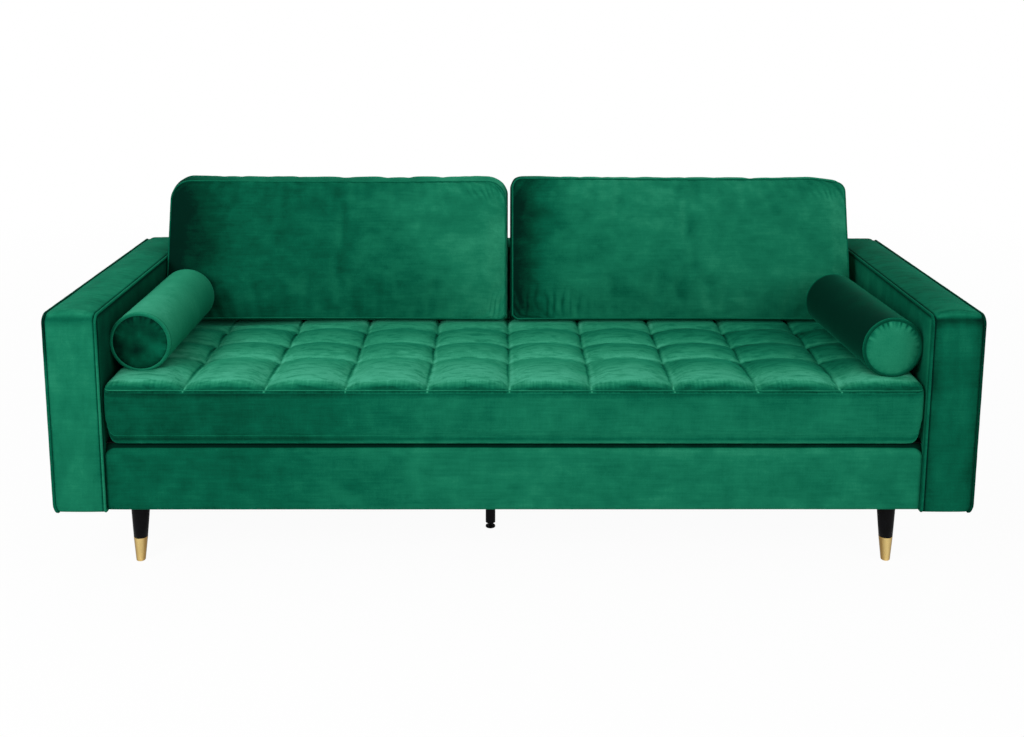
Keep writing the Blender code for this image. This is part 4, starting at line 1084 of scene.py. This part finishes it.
def buildStraps():
    low, _, centre, half = boxOf("seat_strap_1")
    first = latticeBox("seat_webbing_1", (6,), (36,), (2,))
    lattice = pointsOf(first)
    x, z = roundOff(lattice[:, 0] * half.x, lattice[:, 2] * half.z, half.x, half.z, half.z * 0.8)
    points = np.stack([x + centre.x, lattice[:, 1] * half.y + centre.y, z + centre.z], 1)
    points[:, 2] += unevenness(points * np.array([1.0, 0.3, 0.0]), 20, 2.0) * suspension["wave"]
    straps = [first]
    while len(straps) < suspension["straps"]:  # copied before the first one is dressed
        workOn(first)
        bpy.ops.object.duplicate()
        straps.append(bpy.context.object)
    for number, strap in enumerate(straps, 1):
        strap.name = f"seat_webbing_{number}"
        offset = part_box(f"seat_strap_{number}")[0].x - low.x
        placePoints(strap, points + np.array([offset, 0.0, 0.0]))
        sheetOf(strap, "webbing", f"seat_strap_{number}")


def buildDeckCloth():
    low, _, centre, half = boxOf("deck_cloth", suspension["lap"])
    deck = latticeBox("deck_lining", (60,), (40,), (1,))
    points = pointsOf(deck) * np.array(half) + np.array(centre)
    over = np.maximum(low.y + suspension["lap"] - points[:, 1], 0.0)
    points[:, 2] -= over * suspension["lapSlope"]
    points[:, 2] -= np.abs(unevenness(points * np.array([1.0, 0.6, 0.0]), 16, 4.0)) * suspension["wave"]
    placePoints(deck, points)
    sheetOf(deck, "lining", "deck_cloth")


def inHole(place, hole):
    return max(abs(place.x - hole.x), abs(place.y - hole.y)) < suspension["hole"]


def buildDustCover():
    low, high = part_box("dust_cover")
    plates = [f"leg_plate_{end}_{which}" for end in ("front", "rear") for which in ("left", "right")]
    holes = [boxOf(node)[2] for node in [*plates, "centre_leg_tube"]]
    lines = []
    reach = suspension["hole"]
    for axis in (0, 1):
        edges = sorted({round(hole[axis] + side, 4) for hole in holes for side in (-reach, reach)})
        edges = [low[axis], *edges, high[axis]]
        spans = [np.linspace(a, b, max(int((b - a) / suspension["cell"]), 1), endpoint=False)
                 for a, b in zip(edges, edges[1:])]
        lines.append(np.concatenate([*spans, [high[axis]]]))
    deselectAll()
    cuts = [len(line) - 1 for line in lines]
    bpy.ops.mesh.primitive_grid_add(x_subdivisions=cuts[0], y_subdivisions=cuts[1], size=2.0)
    cover = bpy.context.object
    cover.name = "dust_lining"
    lattice = pointsOf(cover)
    x, y = (lines[axis][np.rint((lattice[:, axis] + 1) / 2 * cuts[axis]).astype(int)] for axis in (0, 1))
    front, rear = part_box("base_front_rail")[1].y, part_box("base_rear_rail")[0].y
    side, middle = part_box("base_side_rail_right")[0].x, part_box("base_centre_rail")
    across = np.where(x < middle[0].x, (x + side) / (middle[0].x + side), (side - x) / (side - middle[1].x))
    across = np.where((x > middle[0].x) & (x < middle[1].x), 0.0, np.clip(across, 0.0, 1.0))
    along = np.clip((y - front) / (rear - front), 0.0, 1.0)
    sag = suspension["sag"] * np.sin(math.pi * across) * np.sin(math.pi * along)
    placePoints(cover, np.stack([x, y, high.z - sag], 1))
    workOn(cover)
    bpy.ops.object.mode_set(mode="EDIT")
    choose("FACE", lambda face: any(inHole(face.calc_center_median(), hole) for hole in holes))
    bpy.ops.mesh.delete(type="FACE")
    bpy.ops.object.mode_set(mode="OBJECT")
    thicken(cover, high.z - low.z)
    dress(cover, "lining", "frame", ["dust_cover"])
    print("webbing, deck cloth and dust cover made")


# Legs

leg = {
    "around": 56,
    "collar": 0.0175,
    "foot": 0.0115,
    "footRound": 0.003,
    "top": 0.0245,
    "topRound": 0.0018,
    "wall": 0.0012,
    "stud": 0.004,
    "splay": 0.005,
    "gap": 0.0003,  # between two pieces that touch
}
nearAxis = 0.0004  # where a spun profile starts and ends


def turnedPiece(name, profile, around):  # spins a profile of (radius, height) about Z
    deselectAll()
    bpy.ops.mesh.primitive_circle_add(vertices=around, radius=profile[0][0], location=(0, 0, 0))
    piece = bpy.context.object
    piece.name = name
    bpy.ops.object.mode_set(mode="EDIT")
    bpy.ops.mesh.select_mode(type="VERT")
    bpy.ops.mesh.select_all(action="SELECT")
    bpy.ops.transform.translate(value=(0.0, 0.0, profile[0][1]))
    for (radius, height), (nextRadius, nextHeight) in zip(profile, profile[1:]):
        bpy.ops.mesh.extrude_region_move(TRANSFORM_OT_translate={"value": (0.0, 0.0, nextHeight - height)})
        scale = nextRadius / radius
        bpy.ops.transform.resize(value=(scale, scale, 1.0), center_override=(0.0, 0.0, nextHeight))
    bpy.ops.object.mode_set(mode="OBJECT")
    closeHoles(piece)
    bpy.ops.object.shade_smooth_by_angle(angle=math.radians(35))
    return piece


def arcPoints(centre, radius, start, end, steps=6):
    turns = [math.radians(start + (end - start) * step / steps) for step in range(steps + 1)]
    return [(centre[0] + radius * math.cos(turn), centre[1] + radius * math.sin(turn)) for turn in turns]


def leanLeg(piece, place, splay, top):
    points = pointsOf(piece)
    lean = (top - points[:, 2:3]) / top
    points[:, :2] += np.array(place) + lean * np.array(splay)
    placePoints(piece, points)


def buildLegs():
    for end in ("front", "rear"):
        for which in ("left", "right"):
            name = f"{end}_{which}"
            low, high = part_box("leg_" + name)
            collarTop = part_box("ferrule_" + name)[1].z
            plateLow, _, middle, _ = boxOf("leg_plate_" + name)
            signs = (-1 if which == "left" else 1, -1 if end == "front" else 1)
            legTop = plateLow.z - leg["gap"]
            taper = (leg["top"] - leg["collar"]) / (legTop - collarTop)
            slack, curve = leg["wall"] + leg["gap"], leg["topRound"]
            profile = [
                (nearAxis, high.z), (leg["stud"] - 0.0008, high.z), (leg["stud"], high.z - 0.0008),
                (leg["stud"], legTop), (leg["top"] - 0.002, legTop),
                *[(leg["top"] - curve + curve * math.sin(turn), legTop - curve + curve * math.cos(turn))
                  for turn in (0.5, 1.1, 1.57)],
                (leg["collar"] + taper * 0.03, collarTop + 0.03),
                (leg["collar"] - 0.0002, collarTop + 0.0008),
                (leg["collar"] - 0.0006, collarTop + leg["gap"]),
                (leg["collar"] - slack, collarTop + leg["gap"]),
                (leg["foot"] - slack + 0.0004, low.z), (nearAxis, low.z),
            ]
            post = turnedPiece("leg_lacquered_" + name, profile, leg["around"])
            tip = arcPoints((leg["foot"] - leg["footRound"], leg["footRound"]), leg["footRound"], 0.0, -90.0)
            inside = low.z - leg["gap"]
            profile = [
                (nearAxis, inside), (leg["foot"] - leg["wall"] + 0.0004, inside),
                (leg["collar"] - leg["wall"], collarTop), (leg["collar"] - 0.0004, collarTop),
                (leg["collar"], collarTop - 0.0004), *tip, (nearAxis, 0.0),
            ]
            cap = turnedPiece("ferrule_brass_" + name, profile, leg["around"])
            for piece in (post, cap):
                leanLeg(piece, middle[:2], (signs[0] * leg["splay"], signs[1] * leg["splay"]), legTop)
            dress(post, "lacquer", "frame", ["leg_" + name])
            dress(cap, "brass", "frame", ["ferrule_" + name])
    print("legs made")


# Centre support

support = {
    "around": 40, "tube": 0.013, "wall": 0.002, "flange": 0.003, "bevel": 0.0006, "weld": 0.0015,
    "spindle": 0.004, "pitch": 0.00125, "disc": 0.0044, "discRound": 0.0012,
}


def buildSupport():
    low, high, middle, half = boxOf("centre_leg_tube")
    radius, bore = half.x, support["tube"] - support["wall"]
    bevel, under = support["bevel"], high.z - support["flange"]
    profile = [
        (nearAxis, high.z), (radius - bevel, high.z), (radius, high.z - bevel), (radius, under + bevel),
        (radius - bevel, under), (support["tube"] + support["weld"], under),
        (support["tube"], under - support["weld"]), (support["tube"], low.z + 0.0005),
        (support["tube"] - 0.0005, low.z), (bore + 0.0003, low.z), (bore, low.z + 0.0003), (bore, under),
        (nearAxis, under),
    ]
    tube = turnedPiece("centre_leg_steel_tube", profile, support["around"])
    leanLeg(tube, middle[:2], (0.0, 0.0), high.z)
    dress(tube, "steel", "frame", ["centre_leg_tube"])

    _, high, middle, half = boxOf("centre_leg_glide")
    spindle, pitch, disc, edge = (support[key] for key in ("spindle", "pitch", "disc", "discRound"))
    thread, height = [], high.z - 0.001
    while height > disc + 0.001:
        thread += [(spindle, height), (spindle - 0.0005, height - pitch / 2)]
        height -= pitch
    profile = [(nearAxis, high.z), (spindle - 0.0008, high.z), *thread]
    profile += [(spindle, disc + 0.0006), (spindle + 0.0006, disc)]
    profile += arcPoints((half.x - edge, disc - edge), edge, 90.0, 0.0, 4)
    profile += arcPoints((half.x - edge, edge), edge, 0.0, -90.0, 4) + [(nearAxis, 0.0)]
    glide = turnedPiece("centre_leg_threaded_glide", profile, support["around"])
    leanLeg(glide, middle[:2], (0.0, 0.0), high.z)
    dress(glide, "steel", "centre_leg_glide", ["centre_leg_glide"])
    print("centre support made")


# The frame's own pieces that stay as they are

carriedOver = {
    "wood": ("base_", "corner_block_", "back_post_", "back_top_rail"),
    "plywood": ("arm_frame_",),
    "steel": ("leg_plate_",),
    "plastic": ("centre_leg_nut",),
}


def finishCarriedOver():
    for finish, starts in carriedOver.items():
        for name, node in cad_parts.items():
            if name.startswith(starts):
                node.data.materials.clear()
                node.data.materials.append(finishes[finish])


# Studio

view = {
    "place": (-0.0342, -3.1903, 1.4462),
    "turn": 0.0089,
    "tilt": 0.1668,
    "roll": 0.0036,
    "lens": 42.0,
    "shift": -0.18,
}
lampTarget = (0.0, 0.0, 0.4)
lamps = {  # place, size, power
    "key": ((-2.4, -3.2, 2.3), 1.8, 105.0),
    "fill": ((2.6, -2.8, 1.8), 2.2, 55.0),
    "top": ((-0.6, 0.4, 3.0), 2.4, 22.0),
}


def buildCamera():
    bpy.ops.object.camera_add()
    camera = bpy.context.object
    camera.data.lens = view["lens"]
    camera.data.sensor_width = 36.0
    camera.data.shift_y = view["shift"]
    camera.matrix_world = (
        Matrix.Translation(view["place"]) @ Matrix.Rotation(-view["turn"], 4, "Z")
        @ Matrix.Rotation(math.pi / 2 - view["tilt"], 4, "X") @ Matrix.Rotation(view["roll"], 4, "Z")
    )
    bpy.context.scene.camera = camera


def buildStudio():
    deselectAll()
    bpy.ops.mesh.primitive_plane_add(size=60.0, location=(0.0, 0.0, -0.0005))
    floor = bpy.context.object
    floor.name = "studio_floor"
    board = Board(bpy.data.materials.new("paleFloor"))
    seen = board.add("ShaderNodeLightPath", output="Is Camera Ray")
    mirrored = board.add("ShaderNodeLightPath", output="Is Glossy Ray")
    paper = board.add("ShaderNodeBsdfDiffuse", {}, {"Color": (0.82, 0.82, 0.82, 1.0)})
    glow = board.add("ShaderNodeEmission", {}, {"Color": (1.0, 1.0, 1.0, 1.0), "Strength": 1.0})
    spread = board.add("ShaderNodeTexCoord", output="Object")
    distance = board.add("ShaderNodeVectorMath", {"operation": "LENGTH"}, {0: spread}, output="Value")
    far = board.add("ShaderNodeMapRange", {}, {"Value": distance, "From Min": 1.6, "From Max": 5.0})
    share = seen * (0.96 + far * 0.04) + mirrored * 0.34
    mixed = board.add("ShaderNodeMixShader", {}, {0: share, 1: paper, 2: glow})
    floor.data.materials.append(board.finish(mixed))

    sky = Board(bpy.data.worlds.new("studio"))
    seen = sky.add("ShaderNodeLightPath", output="Is Camera Ray")
    mirrored = sky.add("ShaderNodeLightPath", output="Is Glossy Ray")
    strength = sky.add(  # white to look at, dimmer as a light
        "ShaderNodeMapRange", {}, {"Value": seen + mirrored, "To Min": 0.38, "To Max": 1.0}
    )
    white = sky.add("ShaderNodeBackground", {}, {"Color": (1.0, 1.0, 1.0, 1.0), "Strength": strength})
    sky.add("ShaderNodeOutputWorld", {}, {"Surface": white})
    bpy.context.scene.world = sky.owner

    for name, (place, size, power) in lamps.items():
        aim = (Vector(lampTarget) - Vector(place)).to_track_quat("-Z", "Y")
        bpy.ops.object.light_add(type="AREA", location=place, rotation=aim.to_euler())
        lamp = bpy.context.object
        lamp.name = name
        lamp.data.size = size
        lamp.data.energy = power
    bpy.context.scene.view_settings.view_transform = "Standard"


buildCamera()
buildStudio()
buildSeat()
for which in ("left", "right"):
    buildBackCushion(which)
    buildBolster(which)
    buildArm(which)
buildBaseFront()
buildBack()
buildStraps()
buildDeckCloth()
buildDustCover()
buildLegs()
buildSupport()
finishCarriedOver()
